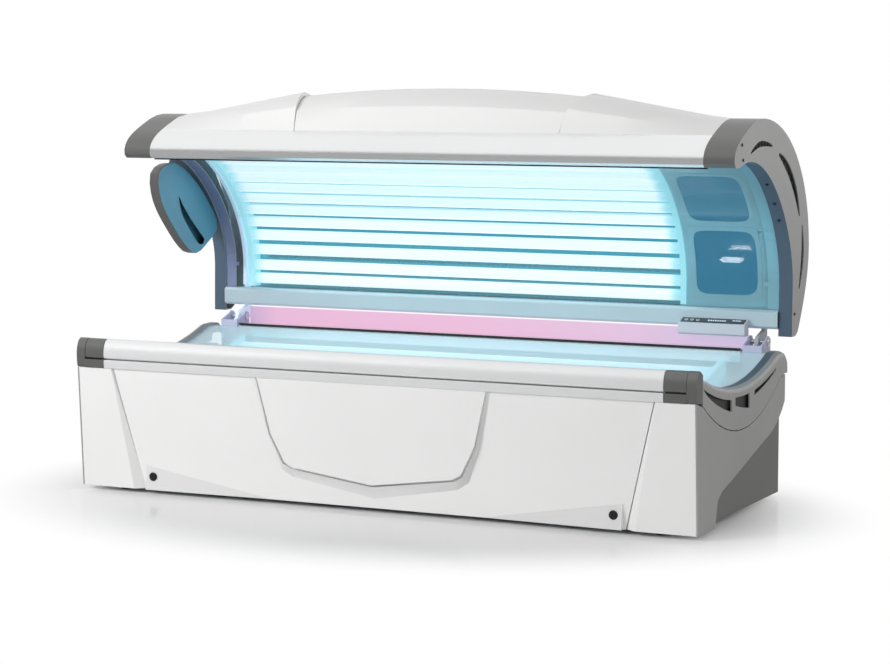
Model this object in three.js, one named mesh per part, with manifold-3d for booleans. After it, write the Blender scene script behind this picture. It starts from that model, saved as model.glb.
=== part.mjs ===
// A clamshell tanning bed: a base with a curved acrylic couch, and a lamp canopy hinged along its rear edge.
// Millimetres, +Z up, +X towards the head end, +Y towards the back. The base is drawn from the foot of its
// front corners (y = 0) and the floor (z = 0), the canopy from the axis of its hinge, in its open position.

import * as THREE from 'three';
import { mergeVertices } from 'three/addons/utils/BufferGeometryUtils.js';
import Module from 'manifold-3d';

const wasm = await Module();
wasm.setup();

// Clearances
const SEAT = 0.3;
const RUNNING = 0.4;
const LAYER_GAP = 0.9;
const CUT_OVER = 2;

// Base: overall sizes
const BASE_LENGTH = 2176;
const BASE_DEPTH = 872;
const SKIRT_GAP = 14;
const PANEL_WALL = 5;
const FRONT_TOP = 412;
const FRONT_LEAN = 24;

// Base: the curved couch, a shallow trough whose crest is a parabola from front to back
const CREST_LOW = 420;
const CREST_TOP = 488;
const CREST_FRONT = 32;
const CREST_BACK_IN = 30;
const COUCH_BEHIND = 94;
const ACRYLIC_THICK = 5;

// Base: silver end trim over the couch's two ends
const TRIM_WIDTH = 46;
const TRIM_ROUND = 20;
const TRIM_BEHIND = 47;
const TRIM_BACK_ROUND = 35;
const SEAM_LOW = 284;
const SEAM_FRONT = 6;
const SEAM_BACK_IN = 10;
const SEAM_GAP = 3;

// Vents of the end trim: start and end as shares of its length, depths under the crest, lower ease
const TRIM_VENTS = [
  [0.0075, 0.324, 37, 38, 72, 0.6],
  [0.3655, 0.533, 30, 54, 76, 1],
  [0.592, 0.855, 31, 46, 38, 1],
];

// Base: end panels with their set-back lower rear part
const END_SETBACK = 45;
const END_PANEL_BEHIND = 69;
const END_PANEL_SHOULDER = 326;
const SETBACK_BEND = [73, 245];
const SETBACK_REAR = [187, 226];
const SETBACK_FRONT = [270, 133];
const SETBACK_KNEE = [178, 118];
const SETBACK_SHIN = [166, 92];
const SETBACK_FOOT = 148;

// Base: front edge rail and its corner pieces
const RAIL_FRONT = -28;
const RAIL_BACK = 26;
const RAIL_TOP = 508;
const RAIL_GROOVE_LOW = 440;
const RAIL_GROOVE = 4;
const CORNER_WIDTH = 105;
const CORNER_OUTER = 32;
const BULLNOSE_CROWN = 2;
const BULLNOSE_HEEL = 6;
const BULLNOSE_NIP = 8;

// Base: front panel, its corner posts, raised shield and locks
const POST_TOP_WIDTH = 127;
const POST_FOOT_WIDTH = 197;
const POST_GROOVE = 1.5;
const POST_BEVEL_TOP = 4;
const POST_BEVEL_FOOT = 34;
const PANEL_TOP_INSET = 6;
const PANEL_FOOT_INSET = 18;
const SHIELD_PROUD_TOP = 5;
const SHIELD_PROUD_FOOT = 22;
const SHIELD_GROOVE_SHARE = 0.1;
const SHIELD_GROOVE = 6;
const SHIELD_INSET = 668;
const SHIELD_BEVEL = 10;
const SHIELD_FOOT_TIP = 43;
const SHIELD_FOOT = [[128, 93], [88, 117], [35, 260]];
const SHIELD_FACE_TIP = 84;
const SHIELD_FACE = [[122, 122], [92, 138], [44, 230]];
const LEDGE_LENGTH = 471;
const LEDGE_HEIGHT = 94;
const LEDGE_STEP = 3;
const LEDGE_END_GAP = 8;
const LOCK_INSET = 71;
const LOCK_Z = 58;
const LOCK_RADIUS = 9;
const LOCK_LENGTH = 34;
const LOCK_CAM = 28;
const LOCK_CAM_WIDTH = 12;
const LOCK_CAM_THICK = 4;
const LOCK_PROUD = 4;
const LOCK_SLOT = 2;
const LOCK_SLOT_DEEP = 3;

// Base: rear rail, rear panel and the light strip above it
const REAR_RAIL_BEHIND = 22;
const REAR_RAIL_END_GAP = 8;
const REAR_RAIL_WALL = 4;
const REAR_RAIL_BREAK = 8;
const REAR_RAIL_HEIGHT = 44;
const REAR_SHEET = 4;
const REAR_PANEL_TOP = 470;
const NECK_LIGHT_TOP = 545;
const NECK_LIGHT_THICK = 6;
const NECK_LIGHT_BEHIND = 14;

// Base: steel frame, feet, ballast and fan
const FRAME_TUBE = 27;
const FRAME_FRONT = 60;
const FRAME_LOW = 40;
const POST_SHORT = 45;
const FRAME_UPRIGHT_TOP = 470;
const FLOOR_SHEET = 2;
const SHELF_DEPTH = 14;
const RIB_INSET = 388;
const RIB_THICK = 6;
const FOOT_RADIUS = 28;
const FOOT_PAD = 12;
const FOOT_STEM = 8;
const FOOT_INSET = 90;
const TRAY_RIB_GAP = 100;
const TRAY_SHEET = 3;
const TRAY_DEPTH = 420;
const BALLAST_COUNT = 6;
const BALLAST_SHARE = 0.3;
const BALLAST_HEIGHT = 53;
const BALLAST_MARGIN = 20;
const BALLAST_SPLIT = 30;
const FAN_INSET = 238;
const FAN_BEHIND = 442;
const FAN_RADIUS = 90;
const FAN_FRAME = 210;
const FAN_HEIGHT = 56;
const FAN_BLADES = 5;
const FAN_HUB = 30;
const FAN_SHAFT = 5;
const FAN_SPOKE = 10;
const FAN_SPOKE_HIGH = 8;
const FAN_BLADE = 32;
const FAN_BLADE_THICK = 3;
const FAN_PITCH = 0.5;
const FAN_TIP_GAP = 5;
const FAN_TOP_GAP = 6;
const GLAND_INSET = 328;
const GLAND_Z = 110;
const GLAND_PROFILE = [[6, 0], [18, 0], [18, 6], [12, 8], [11, 24], [6, 26], [6, 0]];

// Lamps
const LAMP_RADIUS = 19;
const LAMP_DEPTH = 45;
const LAMP_PITCH = 48;
const REFLECTOR_DEPTH = 72;
const SHEET = 2;
const HOLDER = 20;
const HOLDER_TOP = 20;
const BASE_LAMPS = 13;
const BASE_LAMP_INSET = 198;
const REFLECTOR_MARGIN = 40;
const HOLDER_MARGIN = 4;
const CANOPY_LAMPS = 14;
const CANOPY_LAMP_INSET = 150;
const CANOPY_LAMP_FACE_GAP = 24;
const CANOPY_LAMP_FIRST = 14;
const CANOPY_HOLDER_OVER = 26;
const CANOPY_REFLECTOR_FROM = 70;

// Hinge line
const HINGE_BEHIND = 25;
const HINGE_Z = 508;
const HINGE_PIN = 8;
const HINGE_EYE = 20;
const PIN_HEAD = 5;
const ARM_INSET = 35.4;
const ARM_THICK = 12;
const BRACKET_WIDTH = 65.4;
const BRACKET_PLATE = 6;
const BRACKET_ROUND = 20;
const BRACKET_FOOT = 300;
const BRACKET_COVER = 3;
const BRACKET_DROP = 6;
const BRACKET_WEB = 130;

// Gas struts, each between a stud on the base frame and a stud on the canopy's arm
const STRUT_OFFSET = 13;
const STRUT_FOOT = [-7, -360];
const STRUT_HEAD = [-46, -34];
const STRUT_STUD = 6;
const STRUT_PLAY = 3;
const STRUT_RADIUS = 11;
const STRUT_EYE = 15;
const STRUT_EYE_THICK = 8;
const STRUT_TUBE = 232;
const ROD_RADIUS = 5;
const ROD_INSERT = 110;
const ROD_RESERVE = 40;

// Canopy: overall length and end caps
const CANOPY_OVERHANG = 2;
const CAP_WIDTH = 100;
const CAP_RETURN = 46;
const CAP_WALL = 4;
const STRIP_WIDTH = 40;
const HEEL_CLEAR = 30;
const HEEL_CLEAR_TOP = 64;
const STRIP_STEP = 6;
const STRIP_FROM = 12;
const ACRYLIC_FROM = 14;
// Start and end along the outer curve, depth beside it and width
const CAP_VENTS = [[40, 300, 78, 18], [385, 770, 86, 36], [815, 1075, 66, 26]];

// Canopy: section through the end cap, y back and z up from the hinge axis
const LIP = [-519, 586];
const CHIN = [-548, 585];
const NOSE = [-570, 607];
const COVER_SEAM = [-487, 683];
const CANOPY_TOP = [-312, 732];
const CANOPY_REAR = [180, 297];
const CANOPY_HEEL = [73, 31];
const CANOPY_SOLE = 19;
const ROOF_END = [-422, 601];
const WALL_TOP = [15, 187];
const WALL_FOOT = [12, 37];

// Canopy: outer covers, crowned towards the middle of the bed
const COVER_WALL = 4;
const COVER_RETURN = 14;
const RETURN_SHARE = 0.012;
const COVER_FOOT = 50;
const CREASE_AT = 40;
const CREASE_SHARE = 0.75;
const CROWN_PEAK = 165;
const CROWN_LENGTH = 860;
const CENTRE_CROWN = 90;
const CENTRE_EDGE_CROWN = 60;
const WING_CROWN = 72;
const WING_END_INSET = 130;
const SEAM_FRONT_INSET = 612;
const SEAM_TOP_INSET = 538;
const COVER_GAP = 1.6;
const HOOP_GAP = 3;

// Canopy: welded frame
const HOOP_CLEAR = 4;
const HOOP_FROM = 60;
const HOOP_SHORT = 8;
const HOOP_BACK_FROM = 70;
const HOOP_BACK_SHORT = 120;
const ARM_FOOT = 24;
const ARM_HEAD = 30;
const ARM_RISE = 40;
const ARM_ELBOW = 14;
const STUD_COLLAR = 6;
const CANOPY_RIB_INSET = 40;
const CANOPY_RIB_FROM = 130;
const CANOPY_RIB_SHORT = 20;
const CANOPY_RIB_DEPTH = 34;
const CANOPY_TUBE = 22;
const CANOPY_TUBES = [[-400, 694], [-106, 584], [112, 330], [119, 182]];

// Canopy: lower rail with the control panel
const LOWER_RAIL_FRONT = 3;
const LOWER_RAIL_BACK = 48;
const LOWER_RAIL_FOOT = 42;
const LOWER_RAIL_TOP = 104;
const LOWER_RAIL_WALL = 3;
const LOWER_RAIL_ROUND = 8;
const CONTROL_LENGTH = 230;
const CONTROL_INSET = 145;
const CONTROL_FRONT = -36;
const CONTROL_FOOT = 17;
const CONTROL_LIP = 56;
const CONTROL_TOP = 72;
const DISPLAY_THICK = 3;
const DISPLAY_MARGIN = 5;
const DISPLAY_PROUD = 0.5;
const CONTROL_BREAK = 6;
const BUTTON_COUNT = 3;
const BUTTON_RADIUS = 6;
const BUTTON_PITCH = 20;
const BUTTON_PROUD = 2.2;
const BUTTON_FIRST = 22;
const BUTTON_DEEP = 10;
const BUTTON_WELL = 14;

// Canopy: face tanner section at the head end
const FACIAL_INSET = 90;
const FACIAL_LENGTH = 280;
const FACIAL_FROM = 62;
const FACIAL_DEPTH = 18;
const FACIAL_THICK = 4;
const WINDOW_INSET = 141;
const GLASS_INSET = 0.5;
const WINDOW_SIZE = 216;
const WINDOW_FIRST = 217;
const WINDOW_PITCH = 250;
const BUCKET_DEPTH = 62;
const BULB_RADIUS = 8;
const BULB_LENGTH = 120;
const BULB_POST = 8;
const BUCKET_WALL = 3;

// Canopy: leaf-shaped air nozzle at the foot end
const NOZZLE_INSET = 40;
const NOZZLE_THICK = 36;
const NOZZLE_CLIPS = [230, 345, 405];
const CLIP_SIZE = 16;
const CLIP_REACH = 34;
// Outline of the leaf and the slot it blows through, y back and z up from the hinge axis
const NOZZLE_LEAF = [[-326, 561], [-415, 530], [-410, 450], [-337, 351], [-187, 238], [-100, 270], [-30, 325],
  [-88, 411], [-208, 513]];
const NOZZLE_SLOT = [
  [-289, 445], [-272, 385], [-199, 303], [-150, 266],
  [-118, 277], [-158, 315], [-211, 360], [-263, 412]];

// Places along the bed that follow from its length
const baseHalf = BASE_LENGTH / 2;
const canopyHalf = baseHalf + CANOPY_OVERHANG;
const endInner = baseHalf - END_SETBACK;
const frameHalf = endInner - SEAT;
const railHalf = baseHalf - CORNER_WIDTH;
const bracketOuterX = frameHalf - FRAME_TUBE - SEAT;
const bracketInnerX = bracketOuterX - BRACKET_WIDTH;
const armX = bracketOuterX - ARM_INSET;
const strutX = armX + STRUT_OFFSET;
const rearRailHalf = bracketInnerX - REAR_RAIL_END_GAP;
const ribX = baseHalf - RIB_INSET;
const trayHalf = ribX - TRAY_RIB_GAP;
const fanX = baseHalf - FAN_INSET;
const glandX = GLAND_INSET - baseHalf;
const baseLampHalf = baseHalf - BASE_LAMP_INSET;
const facialRight = canopyHalf - FACIAL_INSET;
const facialLeft = facialRight - FACIAL_LENGTH;
const windowX = facialRight - WINDOW_INSET;
const canopyLampLeft = CANOPY_LAMP_INSET - canopyHalf;
const canopyLampRight = facialLeft - CANOPY_LAMP_FACE_GAP;
const canopyRibX = canopyLampRight - CANOPY_RIB_INSET;
const controlRight = canopyHalf - CONTROL_INSET;
const controlLeft = controlRight - CONTROL_LENGTH;
const nozzleX = NOZZLE_INSET - canopyHalf;
const seamFrontX = canopyHalf - SEAM_FRONT_INSET;
const seamTopX = canopyHalf - SEAM_TOP_INSET;
const wingEndX = canopyHalf - WING_END_INSET;

// Places across the bed that follow from its depth
const couchBack = BASE_DEPTH - COUCH_BEHIND;
const trimBack = BASE_DEPTH - TRIM_BEHIND;
const endPanelBack = BASE_DEPTH - END_PANEL_BEHIND;
const rearRailBack = BASE_DEPTH - REAR_RAIL_BEHIND;
const neckLightY = BASE_DEPTH - NECK_LIGHT_BEHIND;
const hingeY = BASE_DEPTH - HINGE_BEHIND;
const fanY = BASE_DEPTH - FAN_BEHIND;
const crestBack = couchBack - CREST_BACK_IN;
const crestMid = (CREST_FRONT + crestBack) / 2;
const crestHalf = (crestBack - CREST_FRONT) / 2;
const seamBack = couchBack - SEAM_BACK_IN;
const seamMid = (SEAM_FRONT + seamBack) / 2;
const seamHalf = (seamBack - SEAM_FRONT) / 2;

// Placing and cutting

const AXIS_X = new THREE.Vector3(1, 0, 0);
const AXIS_Y = new THREE.Vector3(0, 1, 0);
const AXIS_Z = new THREE.Vector3(0, 0, 1);
const FACING_X = new THREE.Matrix4().makeBasis(AXIS_Y, AXIS_Z, AXIS_X);
const FACING_Y = new THREE.Matrix4().makeBasis(AXIS_X, AXIS_Z, AXIS_Y.clone().negate());

function flatSolid(points, depth) {
  const shape = new THREE.Shape(points.map(([a, b]) => new THREE.Vector2(a, b)));
  return new THREE.ExtrudeGeometry(shape, { depth, bevelEnabled: false });
}

// A side-view outline of [y, z] points, pulled from x0 to x1.
function alongX(points, x0, x1) {
  return flatSolid(points, x1 - x0).applyMatrix4(FACING_X).translate(x0, 0, 0);
}

// A front-view outline of [x, z] points, pulled from y0 to y1.
function alongY(points, y0, y1) {
  return flatSolid(points, y1 - y0).applyMatrix4(FACING_Y).translate(0, y1, 0);
}

function box(x0, x1, y0, y1, z0, z1) {
  const geometry = new THREE.BoxGeometry(x1 - x0, y1 - y0, z1 - z0);
  return geometry.translate((x0 + x1) / 2, (y0 + y1) / 2, (z0 + z1) / 2);
}

function roundX(radius, x0, x1, y, z, sides = 16) {
  const geometry = new THREE.CylinderGeometry(radius, radius, x1 - x0, sides);
  return geometry.rotateZ(Math.PI / 2).translate((x0 + x1) / 2, y, z);
}

function roundY(radius, y0, y1, x, z, sides = 16) {
  const geometry = new THREE.CylinderGeometry(radius, radius, y1 - y0, sides);
  return geometry.translate(x, (y0 + y1) / 2, z);
}

function roundZ(radius, z0, z1, x, y, sides = 16) {
  const geometry = new THREE.CylinderGeometry(radius, radius, z1 - z0, sides);
  return geometry.rotateX(Math.PI / 2).translate(x, y, (z0 + z1) / 2);
}

// A closed skin through rings of equal point count, each drawn in front view, with both end rings filled.
function loft(rings) {
  const count = rings[0].length;
  const faces = [];
  for (let ring = 0; ring + 1 < rings.length; ring += 1) {
    for (let i = 0; i < count; i += 1) {
      const a = ring * count + i;
      const b = ring * count + ((i + 1) % count);
      faces.push(a, b, b + count, a, b + count, a + count);
    }
  }
  const flat = rings[0].map(([x, , z]) => new THREE.Vector2(x, z));
  const fill = THREE.ShapeUtils.triangulateShape(flat, []);
  if (THREE.ShapeUtils.isClockWise(flat)) {
    fill.forEach((face) => face.reverse());
  }
  const last = (rings.length - 1) * count;
  fill.forEach(([a, b, c]) => {
    faces.push(a, c, b, last + a, last + b, last + c);
  });
  const geometry = new THREE.BufferGeometry();
  geometry.setAttribute('position', new THREE.Float32BufferAttribute(rings.flat(2), 3));
  geometry.setIndex(faces);
  return outward(geometry);
}

// Turns a closed skin inside out where its volume comes out negative.
function outward(geometry) {
  const { array } = geometry.attributes.position;
  const index = Array.from(geometry.index.array);
  const corner = (i) => new THREE.Vector3().fromArray(array, 3 * i);
  let volume = 0;
  for (let i = 0; i < index.length; i += 3) {
    volume += corner(index[i]).dot(corner(index[i + 1]).cross(corner(index[i + 2])));
  }
  if (volume < 0) {
    index.reverse();
    geometry.setIndex(index);
  }
  return geometry;
}

function toSolid(geometry) {
  const bare = geometry.clone();
  bare.deleteAttribute('normal');
  bare.deleteAttribute('uv');
  const merged = mergeVertices(bare, 1e-3);
  const vertProperties = new Float32Array(merged.attributes.position.array);
  const triVerts = new Uint32Array(merged.index.array);
  return new wasm.Manifold(new wasm.Mesh({ numProp: 3, vertProperties, triVerts }));
}

function toGeometry(solid) {
  const mesh = solid.getMesh();
  const geometry = new THREE.BufferGeometry();
  geometry.setAttribute('position', new THREE.BufferAttribute(new Float32Array(mesh.vertProperties), 3));
  geometry.setIndex(Array.from(mesh.triVerts));
  return geometry;
}

function join(...geometries) {
  return toGeometry(geometries.map(toSolid).reduce((whole, next) => whole.add(next)));
}

function cut(geometry, ...tools) {
  return toGeometry(tools.map(toSolid).reduce((whole, tool) => whole.subtract(tool), toSolid(geometry)));
}

function mirrored(geometry) {
  const loose = geometry.index ? geometry.toNonIndexed() : geometry.clone();
  loose.deleteAttribute('normal');
  loose.deleteAttribute('uv');
  loose.scale(-1, 1, 1);
  const { array } = loose.attributes.position;
  for (let i = 0; i < array.length; i += 9) {
    for (let k = 0; k < 3; k += 1) {
      const held = array[i + 3 + k];
      array[i + 3 + k] = array[i + 6 + k];
      array[i + 6 + k] = held;
    }
  }
  return loose;
}

const steps = (count) => Array.from({ length: count + 1 }, (_, i) => i / count);
const mix = (a, b, t) => a + (b - a) * t;

// Curves of the section

// The point at a given length along a curve, moved sideways to the left of its direction.
function beside(path, length, offset) {
  const u = THREE.MathUtils.clamp(length / path.getLength(), 0, 1);
  const at = path.getPointAt(u);
  const along = path.getTangentAt(u);
  return [at.x - along.y * offset, at.y + along.x * offset];
}

// A strip that follows a curve between two lengths and two sideways offsets.
function strip(path, from, to, near, far, count = 20) {
  const lengths = steps(count).map((t) => mix(from, to, t));
  const first = lengths.map((length) => beside(path, length, near));
  const second = lengths.map((length) => beside(path, length, far));
  return [...first, ...second.reverse()];
}

// A closed anticlockwise outline moved inwards by an even wall.
function inset(loop, wall) {
  return loop.map((point, i) => {
    const before = loop[(i + loop.length - 1) % loop.length];
    const after = loop[(i + 1) % loop.length];
    const a = new THREE.Vector2(point[0] - before[0], point[1] - before[1]).normalize();
    const b = new THREE.Vector2(after[0] - point[0], after[1] - point[1]).normalize();
    const normal = new THREE.Vector2(-a.y - b.y, a.x + b.x).normalize();
    const reach = wall / Math.max(0.3, normal.x * -a.y + normal.y * a.x);
    return [point[0] + normal.x * reach, point[1] + normal.y * reach];
  });
}

function points(path, count) {
  return path.getSpacedPoints(count).map((p) => [p.x, p.y]);
}

// The couch's crest and the seam of the end trim, as heights over y.
const crest = (y) => Math.min(CREST_TOP, mix(CREST_LOW, CREST_TOP, ((y - crestMid) / crestHalf) ** 2));
const seam = (y) => Math.min(FRONT_TOP, mix(SEAM_LOW, FRONT_TOP, ((y - seamMid) / seamHalf) ** 2));
const frontFace = (z) => (-FRONT_LEAN * z) / FRONT_TOP;

// A layer that lies under the crest, from y0 to y1, between two depths.
function couchLayer(y0, y1, near, far, count = 16) {
  const ys = steps(count).map((t) => mix(y0, y1, t));
  return [...ys.map((y) => [y, crest(y) - near]), ...ys.map((y) => [y, crest(y) - far]).reverse()];
}

const innerPath = new THREE.Path()
  .moveTo(...LIP)
  .quadraticCurveTo(mix(LIP[0], ROOF_END[0], 0.5), ROOF_END[1], ...ROOF_END)
  .bezierCurveTo(
    mix(ROOF_END[0], WALL_TOP[0], 0.48), ROOF_END[1],
    WALL_TOP[0], mix(WALL_TOP[1], ROOF_END[1], 0.46),
    ...WALL_TOP)
  .lineTo(...WALL_FOOT);

const nosePath = new THREE.Path()
  .moveTo(...LIP)
  .lineTo(...CHIN)
  .quadraticCurveTo(NOSE[0], CHIN[1], ...NOSE)
  .bezierCurveTo(NOSE[0], mix(NOSE[1], COVER_SEAM[1], 0.45), mix(NOSE[0], COVER_SEAM[0], 0.5),
    mix(NOSE[1], COVER_SEAM[1], 0.76), ...COVER_SEAM);

const outerPath = new THREE.Path()
  .moveTo(...COVER_SEAM)
  .bezierCurveTo(mix(COVER_SEAM[0], CANOPY_TOP[0], 0.3), mix(COVER_SEAM[1], CANOPY_TOP[1], 0.44),
    mix(COVER_SEAM[0], CANOPY_TOP[0], 0.6), CANOPY_TOP[1], ...CANOPY_TOP)
  .bezierCurveTo(mix(CANOPY_TOP[0], CANOPY_REAR[0], 0.56), CANOPY_TOP[1], CANOPY_REAR[0],
    mix(CANOPY_REAR[1], CANOPY_TOP[1], 0.57), ...CANOPY_REAR)
  .bezierCurveTo(
    CANOPY_REAR[0], mix(CANOPY_REAR[1], CANOPY_HEEL[1], 0.38),
    mix(CANOPY_REAR[0], CANOPY_HEEL[0], 0.63), mix(CANOPY_REAR[1], CANOPY_HEEL[1], 0.79),
    ...CANOPY_HEEL);

const innerLength = innerPath.getLength();
const outerLength = outerPath.getLength();
const layerEnd = innerLength - (LOWER_RAIL_TOP - WALL_FOOT[1]) - LAYER_GAP;

const capLoop = [
  ...points(innerPath, 24),
  [WALL_FOOT[0], CANOPY_SOLE],
  [mix(WALL_FOOT[0], CANOPY_HEEL[0], 0.62), CANOPY_SOLE],
  ...points(outerPath, 28).reverse(),
  ...points(nosePath, 10).reverse().slice(1, -1),
];

// Finishes

function finish(color, roughness, metalness = 0) {
  return () => new THREE.MeshStandardMaterial({ color, roughness, metalness });
}

const WHITE = finish(0xf0f0ee, 0.35);
const SILVER = finish(0xa8a8a6, 0.4, 0.2);
const GREY = finish(0x666664, 0.5);
const ALUMINIUM = finish(0xc9ccce, 0.35, 0.7);
const STEEL = finish(0x8d9094, 0.5, 0.6);
const CHROME = finish(0xd4d6d8, 0.2, 0.9);
const MIRROR = finish(0xdfe6ea, 0.15, 0.9);
const CLEAR = finish(0xdcecf0, 0.1);
const LAMP = finish(0xe8f4ff, 0.3);
const BLACK = finish(0x1a1a1c, 0.4);
const BLUE_GLASS = finish(0x3a7896, 0.1);
const ROSE = finish(0xf2c8e2, 0.4);

// Base

function crestAtBack(y) {
  const past = Math.max(0, y - (trimBack - TRIM_BACK_ROUND));
  return crest(y) - (TRIM_BACK_ROUND - Math.sqrt(TRIM_BACK_ROUND ** 2 - past ** 2));
}

// A slot through the end trim that follows the crest, from depth top to a bottom edge between two depths.
function trimVent([from, to, top, bottomStart, bottomEnd, ease]) {
  const upper = steps(8).map((t) => [mix(RAIL_BACK, trimBack, mix(from, to, t)), t]);
  const outline = [
    ...upper.map(([y]) => [y, crest(y) - top]),
    ...upper.map(([y, t]) => [y, crest(y) - mix(bottomStart, bottomEnd, t ** ease) - 1]).reverse(),
  ];
  return alongX(outline, baseHalf - PANEL_WALL - CUT_OVER, baseHalf + CUT_OVER);
}

function sideTrim() {
  const outer = baseHalf;
  const wall = outer - PANEL_WALL;
  const bend = TRIM_ROUND * Math.SQRT1_2;
  const innerBend = (TRIM_ROUND - PANEL_WALL) * Math.SQRT1_2;
  const main = steps(16).map((t) => mix(RAIL_BACK + SEAT, trimBack - TRIM_BACK_ROUND, t));
  const rear = steps(4).slice(1).map((t) => trimBack - TRIM_BACK_ROUND * (1 - Math.sin((t * Math.PI) / 2)));
  const rings = [...main, ...rear].map((y) => {
    const top = crestAtBack(y);
    const low = seam(y) + SEAM_GAP;
    return [
      [outer - TRIM_WIDTH, top],
      [outer - TRIM_ROUND, top],
      [outer - TRIM_ROUND + bend, top - TRIM_ROUND + bend],
      [outer, top - TRIM_ROUND],
      [outer, low],
      [wall, low],
      [wall, top - TRIM_ROUND],
      [outer - TRIM_ROUND + innerBend, top - TRIM_ROUND + innerBend],
      [outer - TRIM_ROUND, top - PANEL_WALL],
      [outer - TRIM_WIDTH, top - PANEL_WALL],
    ].map(([x, z]) => [x, y, z]);
  });
  return cut(loft(rings), ...TRIM_VENTS.map(trimVent));
}

// The edge where the end panel steps back, from its rear shoulder to the front foot.
function setbackEdge() {
  const edge = new THREE.Path()
    .moveTo(endPanelBack, END_PANEL_SHOULDER)
    .quadraticCurveTo(endPanelBack - SETBACK_BEND[0], SETBACK_BEND[1],
      endPanelBack - SETBACK_REAR[0], SETBACK_REAR[1])
    .lineTo(...SETBACK_FRONT)
    .quadraticCurveTo(...SETBACK_KNEE, ...SETBACK_SHIN)
    .lineTo(SETBACK_FOOT, SKIRT_GAP);
  return points(edge, 18);
}

function sidePanel() {
  const back = BASE_DEPTH - REAR_SHEET - SEAT;
  const top = steps(16).map((t) => mix(frontFace(FRONT_TOP), endPanelBack, t)).map((y) => [y, seam(y)]);
  const edge = setbackEdge();
  const whole = [
    [frontFace(SKIRT_GAP), SKIRT_GAP],
    [back, SKIRT_GAP],
    [back, END_PANEL_SHOULDER],
    [endPanelBack, END_PANEL_SHOULDER],
    ...top.reverse(),
  ];
  const setback = [...edge, [edge.at(-1)[0], -CUT_OVER], [back + CUT_OVER, -CUT_OVER],
    [back + CUT_OVER, END_PANEL_SHOULDER + CUT_OVER],
    [endPanelBack + PANEL_WALL, END_PANEL_SHOULDER + CUT_OVER]];
  const raised = edge.map(([y, z], i) => {
    const [y0, z0] = edge[Math.max(0, i - 1)];
    const [y1, z1] = edge[Math.min(edge.length - 1, i + 1)];
    const along = new THREE.Vector2(y1 - y0, z1 - z0).normalize();
    return [y + along.y * PANEL_WALL, z - along.x * PANEL_WALL];
  });
  const pocket = [[endPanelBack - PANEL_WALL, FRONT_TOP + CUT_OVER], ...raised.slice(1),
    [raised.at(-1)[0], -CUT_OVER], [-2 * FRONT_LEAN, -CUT_OVER], [-2 * FRONT_LEAN, FRONT_TOP + CUT_OVER]];
  return cut(
    alongX(whole, endInner, baseHalf),
    alongX(setback, endInner + PANEL_WALL, baseHalf + CUT_OVER),
    alongX(pocket, endInner - CUT_OVER, baseHalf - PANEL_WALL),
  );
}

// Leans an upright sheet so that its top comes forward.
function lean(geometry, foot, top) {
  const slope = (top - foot) / FRONT_TOP;
  const shear = new THREE.Matrix4().set(1, 0, 0, 0, 0, 1, slope, foot, 0, 0, 1, 0, 0, 0, 0, 1);
  return geometry.applyMatrix4(shear);
}

const postTop = baseHalf - PANEL_WALL - POST_TOP_WIDTH;
const postFoot = baseHalf - PANEL_WALL - POST_FOOT_WIDTH;
const panelTopX = postTop - POST_BEVEL_TOP - POST_GROOVE;
const panelFootX = postFoot - POST_BEVEL_FOOT - POST_GROOVE;
const panelFootY = PANEL_FOOT_INSET;
const panelTopY = PANEL_TOP_INSET - FRONT_LEAN;
const lockX = postFoot - LOCK_INSET;

// Hollow corner post whose inner edge slopes back to the front panel, further at the foot than at the top.
function frontPost() {
  const outer = baseHalf - PANEL_WALL - SEAT;
  const outline = (topX, footX) => [
    [outer, SKIRT_GAP], [outer, FRONT_TOP], [topX, FRONT_TOP], [footX, SKIRT_GAP]];
  const depth = (z) => mix(PANEL_FOOT_INSET, PANEL_TOP_INSET, z / FRONT_TOP) + PANEL_WALL;
  const face = outline(postTop, postFoot).map(([x, z]) => [x, 0, z]);
  const rear = outline(postTop - POST_BEVEL_TOP, postFoot - POST_BEVEL_FOOT)
    .map(([x, z]) => [x, depth(z), z]);
  const pocket = [[outer - PANEL_WALL, SKIRT_GAP + PANEL_WALL], [outer - PANEL_WALL, FRONT_TOP - PANEL_WALL],
    [postTop + PANEL_WALL, FRONT_TOP - PANEL_WALL], [postFoot + PANEL_WALL, SKIRT_GAP + PANEL_WALL]];
  const post = cut(loft([face, rear]), alongY(pocket, PANEL_WALL, depth(0) + CUT_OVER));
  return lean(post, 0, -FRONT_LEAN);
}

// One outline of the shield, from its top left corner through the tip to its top right corner.
function shieldRing(half, tip, corners, top, depth) {
  const right = [...corners.map(([inward, z]) => [half - inward, z]), [half, top]];
  const left = right.map(([x, z]) => [-x, z]).reverse();
  return [...left, [0, tip], ...right].map(([x, z]) => [x, depth(z), z]);
}

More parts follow.
